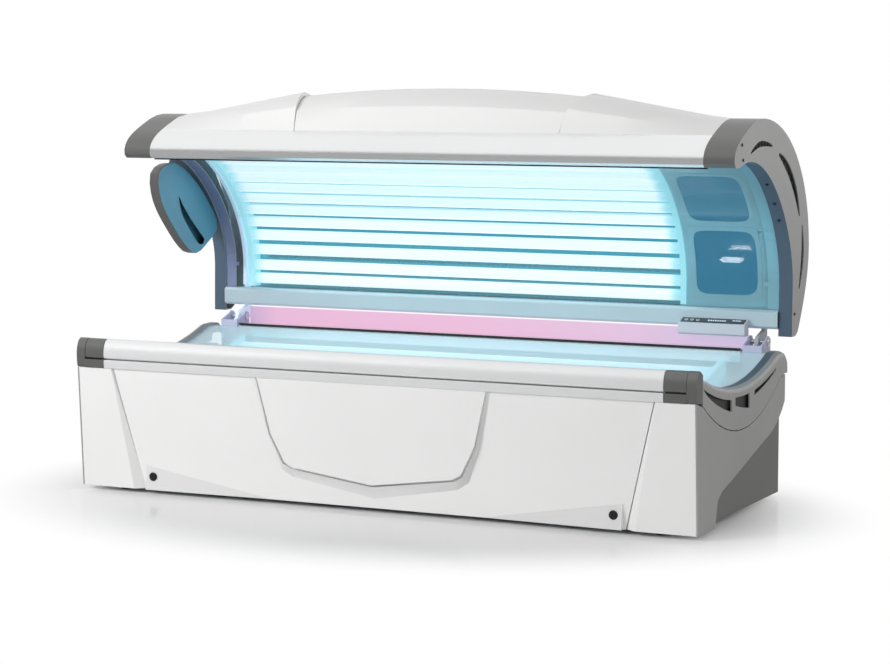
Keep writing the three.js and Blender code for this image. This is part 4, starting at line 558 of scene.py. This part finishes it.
# %% Masked finishes
INNER_REACH = 0.425
CAP_BACK_Y = HOLLOW_Y
FLANGE_X = 1.0435
PANEL_FACE_X = 1.06
TRIM_EDGE_X = 1.0685
HOOP_X = -0.95
SIDEWAYS = 0.5
UPWARDS = 0.6
BEVEL_FRONT = (-0.995, -0.3)
BEVEL_SLOPE = (-0.14, 0.05)


def cheek_zone(centre, normal):
    """0 silver shell, 1 dark nose cap, 2 slate flange, 3 inner strip, which on the left is in painted shade."""
    out = Vector((0.0, centre.y - HOLLOW_Y, centre.z - HOLLOW_Z))
    if out.length < INNER_REACH and normal.dot(out) < 0.0:
        return 2 if abs(centre.x) > FLANGE_X else 3
    return 1 if centre.y < CAP_BACK_Y and abs(normal.x) < SIDEWAYS else 0


def trim_zone(centre, normal):
    """0 silver shell, 1 dark top."""
    return 1 if normal.z > UPWARDS and abs(centre.x) < TRIM_EDGE_X else 0


def panel_zone(centre, normal):
    """0 silver shell, 1 set-back recess in painted shade."""
    return 1 if abs(centre.x) < PANEL_FACE_X else 0


def nozzle_zone(centre, normal):
    """0 grey rim, 1 face towards the couch, painted blue as the lamps' light falls on it."""
    return 1 if normal.x > SIDEWAYS else 0


def hoop_zone(centre, normal):
    """0 frame, 1 hoop at the foot end, which glows with painted lamplight."""
    return 1 if centre.x < HOOP_X else 0


def bevel_zone(centre, normal):
    """0 plain front, 1 bevels round the shield and the two ledges at the foot, in painted shade."""
    slanted = BEVEL_FRONT[0] < normal.y < BEVEL_FRONT[1]
    return 1 if slanted and not BEVEL_SLOPE[0] <= normal.z <= BEVEL_SLOPE[1] else 0


# painted lamplight: the nozzle's face towards the couch is painted blue as if lit by the lamps
NOZZLE_PAINTED_LAMPLIGHT = moulded("nozzle_face_painted_lamplight", (0.10, 0.30, 0.42), 0.3, drift=0.10, grain=0.05, coat=0.3)
for side, _ in SIDES:
    # the left inner strip gets painted shade with a painted blue reflection, the right one the face panel's
    # teal
    strip = VIOLET_STRIP_PAINTED_SHADE if side == "left" else FACE_PANEL
    paint("cheek_" + side, SILVER, CAP_GREY, SLATE, strip, pick=cheek_zone)
    paint("side_trim_" + side, SILVER, TRIM_TOP, pick=trim_zone)
    # the set-back faces of the side panels take painted shade
    paint("side_panel_" + side, SILVER, RECESS_PAINTED_SHADE, pick=panel_zone)
paint("air_nozzle", CAP_GREY, NOZZLE_PAINTED_LAMPLIGHT, pick=nozzle_zone)
paint("canopy_frame", FRAME_PAINT, HOOP_PAINTED_LAMPLIGHT, pick=hoop_zone)
# the bevels and ledges of the front panel take painted shade
paint("front_panel", WHITE_SHELL, PAINTED_SHADE_WHITE, pick=bevel_zone)
print("masked finishes on", sum(len(solid.data.materials) > 1 for solid in solids.values()), "solids")

# %% [markdown]
# ## Helpers for new pieces
# Each new piece starts from a primitive, whose place goes into its mesh at once, and is shaped in edit mode.
# Faces are picked in code by their normal, since there is no mouse. At the end the piece gets its finish and
# rides a body of the frame.

# %% Edit helpers
ROUND_ANGLE = math.radians(40.0)
ALL_ROUND = 60.0
END_ON = 0.9


def clear_selection():
    if bpy.context.mode != "OBJECT":
        bpy.ops.object.mode_set(mode="OBJECT")
    bpy.ops.object.select_all(action="DESELECT")


def begin(name):
    """Names the primitive that was just added and puts its place into its mesh."""
    piece = bpy.context.active_object
    piece.name = name
    piece.data.name = name
    bpy.ops.object.transform_apply(location=True, rotation=True, scale=True)
    return piece


def block(name, size, place=ORIGIN):
    clear_selection()
    bpy.ops.mesh.primitive_cube_add(size=1.0, location=place)
    bpy.context.active_object.scale = size
    return begin(name)


def drum(name, vertices, radius, depth, place=ORIGIN, turn=ORIGIN):
    clear_selection()
    bpy.ops.mesh.primitive_cylinder_add(vertices=vertices, radius=radius, depth=depth, location=place,
                                        rotation=turn)
    return begin(name)


def pick_faces(piece, wanted):
    """Enters edit mode with the faces selected for which wanted(normal) is true."""
    bpy.ops.object.mode_set(mode="EDIT")
    bpy.ops.mesh.select_mode(type="FACE")
    bpy.ops.mesh.select_all(action="DESELECT")
    bpy.ops.object.mode_set(mode="OBJECT")
    for face in piece.data.polygons:
        face.select = wanted(face.normal)
    bpy.ops.object.mode_set(mode="EDIT")


def push(x, y, z):
    """Extrudes what is selected by a step."""
    bpy.ops.mesh.extrude_region_move(TRANSFORM_OT_translate={"value": (x, y, z)})


def soft_edges(piece, width, segments=2):
    clear_selection()
    piece.select_set(True)
    bpy.context.view_layer.objects.active = piece
    edge = piece.modifiers.new("soft_edge", "BEVEL")
    edge.width = width
    edge.segments = segments
    edge.limit_method = "ANGLE"
    edge.angle_limit = ROUND_ANGLE
    bpy.ops.object.modifier_apply(modifier=edge.name)


def thicken(piece, thickness):
    """Makes a wall of an open sheet, half to each side."""
    wall = piece.modifiers.new("wall", "SOLIDIFY")
    wall.thickness = thickness
    wall.offset = 0.0
    bpy.ops.object.modifier_apply(modifier=wall.name)


def done(piece, body, finish, angle=35.0):
    clear_selection()
    piece.select_set(True)
    bpy.context.view_layer.objects.active = piece
    bpy.ops.object.shade_smooth_by_angle(angle=math.radians(angle))
    piece.data.materials.clear()
    piece.data.materials.append(finish)
    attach(piece, body)
    print(piece.name, len(piece.data.polygons), "faces on", body)


print("edit helpers ready")

# %% [markdown]
# What repeats, such as a screw or a louvre blade, is modelled once. Its copies are laid at their places, each
# with its own mesh, and joined into one piece.

# %% Helpers for copies
def strewn(master, name, places):
    """Copies of a master at each matrix, joined into one piece. The master goes."""
    copies = []
    for place in places:
        copy = master.copy()
        copy.data = master.data.copy()
        copy.data.transform(place)
        bpy.context.scene.collection.objects.link(copy)
        copies.append(copy)
    bpy.data.objects.remove(master)
    clear_selection()
    for copy in copies:
        copy.select_set(True)
    bpy.context.view_layer.objects.active = copies[0]
    bpy.ops.object.join()
    copies[0].name = name
    copies[0].data.name = name
    return copies[0]


def facing(point, normal, turn=0.0):
    """A place whose +Z looks along normal."""
    spin = Vector(normal).to_track_quat("Z", "Y").to_matrix().to_4x4()
    return Matrix.Translation(point) @ spin @ Matrix.Rotation(turn, 4, "Z")


print("copy helpers ready")

# %% [markdown]
# ## The canopy's inner wall
# Bezels, bulbs and screws follow the curved wall. Its section is a short straight foot and one Bezier curve,
# so a flat piece can be made first and then wrapped: x stays, y becomes the way up the wall and z the depth
# behind it.

# %% The wall's curve
FOOT = Vector((0.012, 0.037))
WALL_TOP = Vector((0.015, 0.187))
ROOF_END = Vector((-0.422, 0.601))
PULL_LOW = Vector((0.015, 0.3774))
PULL_HIGH = Vector((-0.2122, 0.601))
BEZIER_STEPS = 200


def bezier(t):
    u = 1.0 - t
    return u ** 3 * WALL_TOP + 3 * u * u * t * PULL_LOW + 3 * u * t * t * PULL_HIGH + t ** 3 * ROOF_END


def marks_along(points):
    """The length from the first point to each point of a line."""
    marks = [0.0]
    for a, b in zip(points, points[1:]):
        marks.append(marks[-1] + (b - a).length)
    return marks


wall_points = [FOOT] + [bezier(i / BEZIER_STEPS) for i in range(BEZIER_STEPS + 1)]
wall_marks = marks_along(wall_points)


def on_wall(up, depth):
    """Point and outward normal (Y, Z) of the wall at a length up from its foot and a depth behind its face."""
    i = max(1, next((k for k, mark in enumerate(wall_marks) if mark >= up), len(wall_marks) - 1))
    a, b = wall_points[i - 1], wall_points[i]
    along = (b - a).normalized()
    out = Vector((along.y, -along.x))
    point = a + along * (up - wall_marks[i - 1]) + out * depth
    return Vector((HINGE_Y + point.x, HINGE_Z + point.y)), out


def wrap_on_wall(piece):
    for vertex in piece.data.vertices:
        point, _ = on_wall(vertex.co.y, vertex.co.z)
        vertex.co = (vertex.co.x, point.x, point.y)


print("wall length", round(wall_marks[-1], 3))

# %% [markdown]
# ## Face tanner windows
# Two blue filter glasses sit in the end of the canopy, each behind a bezel shaped like an old television
# screen. The bezel is a circle drawn out to a rounded square, extruded outwards to a ring, wrapped and
# thickened.

# %% Window bezels
WINDOW_X = 0.859
WINDOW_UP = {"lower": 0.217, "upper": 0.467}
WINDOW_INNER, INNER_POWER = 0.1065, 6.5
WINDOW_OUTER, OUTER_POWER = 0.122, 16.0
BEZEL_DEPTH = 0.0172
BEZEL_WALL = 0.0009
BEZEL_POINTS = 96


def squared(vertex, middle, half, power):
    """Draws a point of a circle out to a rounded square."""
    way = Vector((vertex.co.x - middle.x, vertex.co.y - middle.y))
    way.normalize()
    reach = half / (abs(way.x) ** power + abs(way.y) ** power) ** (1.0 / power)
    vertex.co.x = middle.x + way.x * reach
    vertex.co.y = middle.y + way.y * reach


for tag, up in WINDOW_UP.items():
    clear_selection()
    middle = Vector((WINDOW_X, up, BEZEL_DEPTH))
    bpy.ops.mesh.primitive_circle_add(vertices=BEZEL_POINTS, radius=WINDOW_INNER, location=middle)
    bezel = begin("window_bezel_" + tag)
    bpy.ops.object.mode_set(mode="EDIT")
    bpy.ops.mesh.select_all(action="SELECT")
    bpy.ops.mesh.extrude_region_move()
    bpy.ops.object.mode_set(mode="OBJECT")
    for vertex in bezel.data.vertices:
        if vertex.index < BEZEL_POINTS:
            squared(vertex, middle, WINDOW_INNER, INNER_POWER)
        else:
            squared(vertex, middle, WINDOW_OUTER, OUTER_POWER)
    bpy.ops.object.mode_set(mode="EDIT")
    bpy.ops.mesh.select_all(action="SELECT")
    bpy.ops.mesh.normals_make_consistent(inside=False)
    bpy.ops.object.mode_set(mode="OBJECT")
    wrap_on_wall(bezel)
    thicken(bezel, BEZEL_WALL)
    done(bezel, "canopy", FACE_PANEL)

# %% [markdown]
# Behind each glass a short high-pressure lamp sits in its polished bucket. It is a capsule: a cylinder with
# both ends drawn in by extruding and scaling, then smoothed.

# %% Face lamps
BULB_DEPTH = 0.034
BULB_SHIFT = 0.012
BULB_POINTS, BULB_RADIUS, BULB_LENGTH = 16, 0.009, 0.055
BULB_TIP = ((0.005, 0.72), (0.003, 0.45), (0.006, 0.6))

for tag, up in WINDOW_UP.items():
    point, _ = on_wall(up, BULB_DEPTH)
    bulb = drum("face_bulb_" + tag, BULB_POINTS, BULB_RADIUS, BULB_LENGTH,
                (WINDOW_X + BULB_SHIFT, *point), (0.0, math.pi / 2, 0.0))
    for end in (-1.0, 1.0):
        pick_faces(bulb, lambda normal: normal.x * end > END_ON)
        for step, shrink in BULB_TIP:
            push(end * step, 0.0, 0.0)
            bpy.ops.transform.resize(value=(1.0, shrink, shrink))
        bpy.ops.object.mode_set(mode="OBJECT")
    done(bulb, "canopy", BULB, ALL_ROUND)

# %% [markdown]
# ## Collars of the panel locks
# Each quarter-turn lock sits in a round black collar on the front panel. It is a torus, pressed flat along its
# axis.

# %% Lock collars
LOCK_X, LOCK_Y, LOCK_Z = 0.815, -0.4966, 0.058
COLLAR_POINTS, COLLAR_RADIUS = 40, 0.0120
COLLAR_ROUND_POINTS, COLLAR_ROUND = 12, 0.0026
COLLAR_PRESS = 0.8

for side, sign in SIDES:
    clear_selection()
    bpy.ops.mesh.primitive_torus_add(major_segments=COLLAR_POINTS, minor_segments=COLLAR_ROUND_POINTS,
                                     major_radius=COLLAR_RADIUS, minor_radius=COLLAR_ROUND,
                                     location=(sign * LOCK_X, LOCK_Y, LOCK_Z),
                                     rotation=(math.pi / 2, 0.0, 0.0))
    collar = begin("lock_collar_" + side)
    bpy.ops.object.mode_set(mode="EDIT")
    bpy.ops.mesh.select_all(action="SELECT")
    bpy.ops.transform.resize(value=(1.0, COLLAR_PRESS, 1.0))
    bpy.ops.object.mode_set(mode="OBJECT")
    done(collar, "base", BLACK, ALL_ROUND)

# %% [markdown]
# ## Seals
# A thin black seal closes the gap between the canopy's front rail and the acrylic. It shows as one dark line
# along the bed. A cube is stretched to a bar, and its edges are rounded.

# %% Rail seal
RAIL_SEAL_SIZE = (1.978, 0.020, 0.0046)
RAIL_SEAL_PLACE = (0.0, HINGE_Y - 0.531, HINGE_Z + 0.5832)
RAIL_SEAL_ROUND = 0.0015

seal = block("rail_seal", RAIL_SEAL_SIZE, RAIL_SEAL_PLACE)
soft_edges(seal, RAIL_SEAL_ROUND)
done(seal, "canopy", BLACK)

# %% [markdown]
# A second seal of the same kind closes the joint between the couch's sheet and the rear rail. It takes its
# length and its place from that rail.

# %% Couch seal
COUCH_SEAL_WIDTH, COUCH_SEAL_HEIGHT, COUCH_SEAL_ROUND = 0.0085, 0.0042, 0.0012
COUCH_SEAL_INSET, COUCH_SEAL_PROUD = 0.004, 0.0005

low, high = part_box("rear_rail")
couch_seal = block("couch_seal", (high.x - low.x, COUCH_SEAL_WIDTH, COUCH_SEAL_HEIGHT),
                   (0.0, low.y + COUCH_SEAL_INSET, high.z + COUCH_SEAL_PROUD))
soft_edges(couch_seal, COUCH_SEAL_ROUND)
done(couch_seal, "base", BLACK)

# %% [markdown]
# ## Screws
# The same small socket screw holds the rail, the cheeks and the flanges. It is modelled once: a short
# cylinder, its top inset, the inset pushed in for the socket and the rim rounded. Copies are laid on their
# faces and joined.

# %% Screw master and its copies
SCREW_POINTS, SCREW_RADIUS, SCREW_DEPTH = 16, 0.0052, 0.004
SOCKET_RIM, SOCKET_DEPTH = 0.0024, 0.0022
SCREW_ROUND = 0.0005
RAIL_SCREW_X = (-0.845, 0.855)
RAIL_SCREW = (-559.0, 596.0)
RAIL_LOOK = Vector((0.0, -0.7071, -0.7071))
RAIL_PROUD, FLANGE_PROUD = 0.0006, 0.0004
CHEEK_SCREWS = [(-503.0, 655.0), (-492.0, 608.0), (36.0, 92.0)]
CHEEK_X = 1.0905
FLANGE_SCREW_X = 1.068
FLANGE_UPS = (0.385, 0.46, 0.56)


def from_hinge(y, z):
    """A point (Y, Z) that is given in millimetres from the hinge."""
    return HINGE_Y + y / 1000.0, HINGE_Z + z / 1000.0


screw = drum("screw_master", SCREW_POINTS, SCREW_RADIUS, SCREW_DEPTH)
pick_faces(screw, lambda normal: normal.z > END_ON)
bpy.ops.mesh.inset(thickness=SOCKET_RIM)
push(0.0, 0.0, -SOCKET_DEPTH)
bpy.ops.object.mode_set(mode="OBJECT")
soft_edges(screw, SCREW_ROUND)
screw_places = [facing(Vector((x, *from_hinge(*RAIL_SCREW))) + RAIL_LOOK * RAIL_PROUD, RAIL_LOOK)
                for x in RAIL_SCREW_X]
for side, sign in SIDES:
    for spot in CHEEK_SCREWS:
        screw_places.append(facing(Vector((sign * CHEEK_X, *from_hinge(*spot))), (sign, 0.0, 0.0)))
    for up in FLANGE_UPS:
        point, out = on_wall(up, 0.0)
        look = Vector((0.0, -out.x, -out.y))
        screw_places.append(facing(Vector((sign * FLANGE_SCREW_X, *point)) + look * FLANGE_PROUD, look))
done(strewn(screw, "canopy_screws", screw_places), "canopy", BLACK)

# %% [markdown]
# ## Vents in the end pieces
# Each canopy cheek has three long vents and each end trim of the base has three more. Behind them is a dark
# liner, and thin blades cross the openings of the cheeks. The liner starts as one face, and the face's last
# edge is extruded along the vents' middle line. A third liner lies behind the seam between end trim and end
# panel.

# %% Liner helper
LINER_WALL = 0.0015


def liner(name, body, x, line, half_width):
    """A dark ribbon in the plane of x that follows a line of (y, z) points."""
    clear_selection()
    bpy.ops.mesh.primitive_plane_add(size=1.0)
    ribbon = begin(name)
    spots = [Vector(p) for p in line]
    ways = [(b - a).normalized() for a, b in zip(spots, spots[1:])]
    ways.append(ways[-1])
    rims = []
    for spot, way in zip(spots, ways):
        across = Vector((-way.y, way.x)) * half_width
        rims.append((spot - across, spot + across))
    for vertex, rim in zip(ribbon.data.vertices, (*rims[0], *rims[1])):
        vertex.co = (x, rim.x, rim.y)
    for low, high in rims[2:]:
        last = len(ribbon.data.vertices)
        bpy.ops.object.mode_set(mode="EDIT")
        bpy.ops.mesh.select_mode(type="VERT")
        bpy.ops.mesh.select_all(action="DESELECT")
        bpy.ops.object.mode_set(mode="OBJECT")
        for vertex in ribbon.data.vertices[last - 2:]:
            vertex.select = True
        bpy.ops.object.mode_set(mode="EDIT")
        bpy.ops.mesh.extrude_region_move()
        bpy.ops.object.mode_set(mode="OBJECT")
        ribbon.data.vertices[last].co = (x, low.x, low.y)
        ribbon.data.vertices[last + 1].co = (x, high.x, high.y)
    thicken(ribbon, LINER_WALL)
    done(ribbon, body, BLACK)


print("liner helper ready")

# %% [markdown]
# The cheek's line is measured from the hinge and the trim's from the front of the base. The seam is a shallow
# bowl, so a parabola that is cut off at the top gives its line.

# %% Liners
FRONT_Y = -0.4995
CHEEK_LINE = [from_hinge(y, z) for y, z in (
    (-460, 636), (-400, 648), (-340, 654), (-280, 648), (-220, 636), (-150, 606), (-85, 568), (-20, 508),
    (35, 432), (68, 385), (84, 330), (104, 268), (110, 200), (98, 130))]
TRIM_LINE = [(FRONT_Y + y, z) for y, z in (
    (0.020, 0.452), (0.095, 0.421), (0.180, 0.393), (0.284, 0.371), (0.385, 0.368), (0.455, 0.364),
    (0.505, 0.386), (0.600, 0.402), (0.705, 0.430))]
SEAM_MIDDLE, SEAM_HALF = 0.387, 0.381
SEAM_LOW, SEAM_RISE, SEAM_TOP = 0.2855, 0.128, 0.4135
SEAM_STARTS, SEAM_STEP, SEAM_POINTS = -0.010, 0.050, 17
seam_line = []
for k in range(SEAM_POINTS):
    y = SEAM_STARTS + SEAM_STEP * k
    z = min(SEAM_TOP, SEAM_LOW + SEAM_RISE * ((y - SEAM_MIDDLE) / SEAM_HALF) ** 2)
    seam_line.append((FRONT_Y + y, z))
LINERS = {  # body, X, line and half the width
    "cheek_liner_": ("canopy", 1.0795, CHEEK_LINE, 0.024),
    "trim_liner_": ("base", 1.0765, TRIM_LINE, 0.026),
    "seam_liner_": ("base", 1.0810, seam_line, 0.009),
}
for side, sign in SIDES:
    for name, (body, x, line, half_width) in LINERS.items():
        liner(name + side, body, sign * x, line, half_width)

# %% [markdown]
# The blades lean along the vents. One blade is made from a cube: its outer side is drawn thin and its edges are
# rounded.

# %% Louvre blades
BLADE_SIZE = (0.0100, 0.0028, 0.050)
BLADE_TAPER = 0.5
BLADE_ROUND = 0.0004
BLADE_X = 1.0835
BLADE_COUNT = 30
BLADE_LEAN = 0.45


def blade_master():
    blade = block("blade_master", BLADE_SIZE)
    pick_faces(blade, lambda normal: normal.x > END_ON)
    bpy.ops.transform.resize(value=(1.0, BLADE_TAPER, 1.0))
    bpy.ops.object.mode_set(mode="OBJECT")
    soft_edges(blade, BLADE_ROUND, 1)
    return blade


def blade_places(x, line):
    """Places at even lengths along a line of (y, z) points, each leaning on the line's way there."""
    spots = [Vector(p) for p in line]
    marks = marks_along(spots)
    places = []
    for k in range(BLADE_COUNT):
        goal = marks[-1] * (k + 0.5) / BLADE_COUNT
        i = max(1, next(j for j, mark in enumerate(marks) if mark >= goal))
        a, b = spots[i - 1], spots[i]
        spot = a.lerp(b, (goal - marks[i - 1]) / (marks[i] - marks[i - 1]))
        way = math.atan2((b - a).y, (b - a).x)
        places.append(Matrix.Translation((x, spot.x, spot.y)) @ Matrix.Rotation(way + BLADE_LEAN, 4, "X"))
    return places


for side, sign in SIDES:
    louvres = strewn(blade_master(), "cheek_louvres_" + side, blade_places(sign * BLADE_X, CHEEK_LINE))
    done(louvres, "canopy", CAP_GREY)

# %% [markdown]
# ## Control panel marks
# The dark window of the control panel shows a few plain marks: two short rows of bars. A bar is a cube made
# thin, with rounded corners. All of them lie on the window's slope.

# %% Display bars
SLOPE_SIN, SLOPE_COS = 0.38207, 0.92413
SLOPE = Vector((0.0, -SLOPE_SIN, SLOPE_COS))
UPHILL = Vector((0.0, SLOPE_COS, SLOPE_SIN))
MARK_LIFT = 0.0016
BAR_SIZE = (0.0035, 0.0090, 0.0006)
BAR_ROUND = 0.0002
UPRIGHT_X, UPRIGHT_PITCH, UPRIGHT_BARS = 0.815, 0.008, 8
LEVEL_X, LEVEL_PITCH, LEVEL_BARS = 0.900, 0.010, 3
LEVEL_UPHILL = 0.004

low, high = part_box("control_display")
window_middle = (low + high) / 2


def on_window(x, uphill):
    """A point on the control window: x along the bed, uphill along its slope."""
    return Vector((x, window_middle.y, window_middle.z)) + UPHILL * uphill + SLOPE * MARK_LIFT


bar = block("bar_master", BAR_SIZE)
soft_edges(bar, BAR_ROUND, 1)
bars = [facing(on_window(UPRIGHT_X + UPRIGHT_PITCH * k, 0.0), SLOPE) for k in range(UPRIGHT_BARS)]
bars += [facing(on_window(LEVEL_X + LEVEL_PITCH * k, LEVEL_UPHILL), SLOPE, math.pi / 2)
         for k in range(LEVEL_BARS)]
done(strewn(bar, "display_bars", bars), "canopy", MARK)

# %% [markdown]
# Each button has a dark ring on its top and takes it along when it is pressed. A ring is a short cylinder whose
# two faces are inset and removed in the middle.

# %% Button rings
RING_POINTS, RING_RADIUS = 24, 0.0036
RING_DEPTH, RING_WIDTH = 0.0005, 0.0010
RING_RISE = 0.43

for button in BUTTONS:
    ring = drum(button.replace("button", "button_ring"), RING_POINTS, RING_RADIUS, RING_DEPTH)
    pick_faces(ring, lambda normal: abs(normal.z) > END_ON)
    bpy.ops.mesh.inset(thickness=RING_WIDTH)
    bpy.ops.mesh.delete(type="FACE")
    bpy.ops.object.mode_set(mode="OBJECT")
    low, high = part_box(button)
    top = (low + high) / 2 + SLOPE * (high.z - low.z) * RING_RISE
    ring.data.transform(facing(top, SLOPE))
    done(ring, button, DISPLAY)

# %% [markdown]
# ## Hinge covers
# On each hinge bracket a round cover with a stepped face hides the pin. A cylinder's outer face is inset and
# pushed in, then inset again and pulled out, which leaves a groove round a flat button.

# %% Hinge covers
COVER_POINTS, COVER_RADIUS, COVER_DEPTH = 32, 0.0165, 0.003
COVER_RIM, COVER_SUNK = 0.004, 0.0012
COVER_GROOVE, COVER_RISE = 0.005, 0.001
COVER_PROUD = 0.0005
COVER_ROUND = 0.0005

for side, sign in SIDES:
    low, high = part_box("hinge_bracket_" + side)
    face_x = (high.x if sign > 0 else low.x) + sign * COVER_PROUD
    cover = drum("hinge_cover_" + side, COVER_POINTS, COVER_RADIUS, COVER_DEPTH,
                 (face_x, HINGE_Y, HINGE_Z), (0.0, sign * math.pi / 2, 0.0))
    pick_faces(cover, lambda normal: normal.x * sign > END_ON)
    bpy.ops.mesh.inset(thickness=COVER_RIM)
    push(-sign * COVER_SUNK, 0.0, 0.0)
    bpy.ops.mesh.inset(thickness=COVER_GROOVE)
    push(sign * COVER_RISE, 0.0, 0.0)
    bpy.ops.object.mode_set(mode="OBJECT")
    soft_edges(cover, COVER_ROUND)
    done(cover, "base", CHROME)

# %% [markdown]
# ## Back of the base
# The rear panel breathes through two louvred grilles. A grille is a plate whose face is inset for the frame and
# sunk, with slats laid across the opening.

# %% Rear grilles
GRILLE_X, GRILLE_Z = 0.55, 0.24
GRILLE_WIDTH, GRILLE_HEIGHT, GRILLE_DEPTH = 0.36, 0.15, 0.004
GRILLE_PROUD = 0.0015
GRILLE_RIM, GRILLE_SUNK, GRILLE_ROUND = 0.012, 0.0028, 0.0006
SLAT_SIZE = (GRILLE_WIDTH - 0.022, 0.0016, 0.0095)
SLAT_TILT = Matrix.Rotation(math.radians(28.0), 4, "X")
SLAT_PROUD, SLAT_ROUND = 0.0004, 0.0004
SLAT_LOW, SLAT_PITCH, SLATS = -0.054, 0.012, 10

low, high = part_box("rear_panel")
for side, sign in SIDES:
    middle = Vector((sign * GRILLE_X, high.y + GRILLE_PROUD, GRILLE_Z))
    plate = block("rear_grille_" + side, (GRILLE_WIDTH, GRILLE_DEPTH, GRILLE_HEIGHT), middle)
    pick_faces(plate, lambda normal: normal.y > END_ON)
    bpy.ops.mesh.inset(thickness=GRILLE_RIM)
    push(0.0, -GRILLE_SUNK, 0.0)
    bpy.ops.object.mode_set(mode="OBJECT")
    soft_edges(plate, GRILLE_ROUND)
    done(plate, "base", BLACK)
    slat = block("slat_master", SLAT_SIZE)
    soft_edges(slat, SLAT_ROUND, 1)
    rows = [Matrix.Translation(middle + Vector((0.0, SLAT_PROUD, SLAT_LOW + SLAT_PITCH * k))) @ SLAT_TILT
            for k in range(SLATS)]
    done(strewn(slat, "rear_slats_" + side, rows), "base", CAP_GREY)
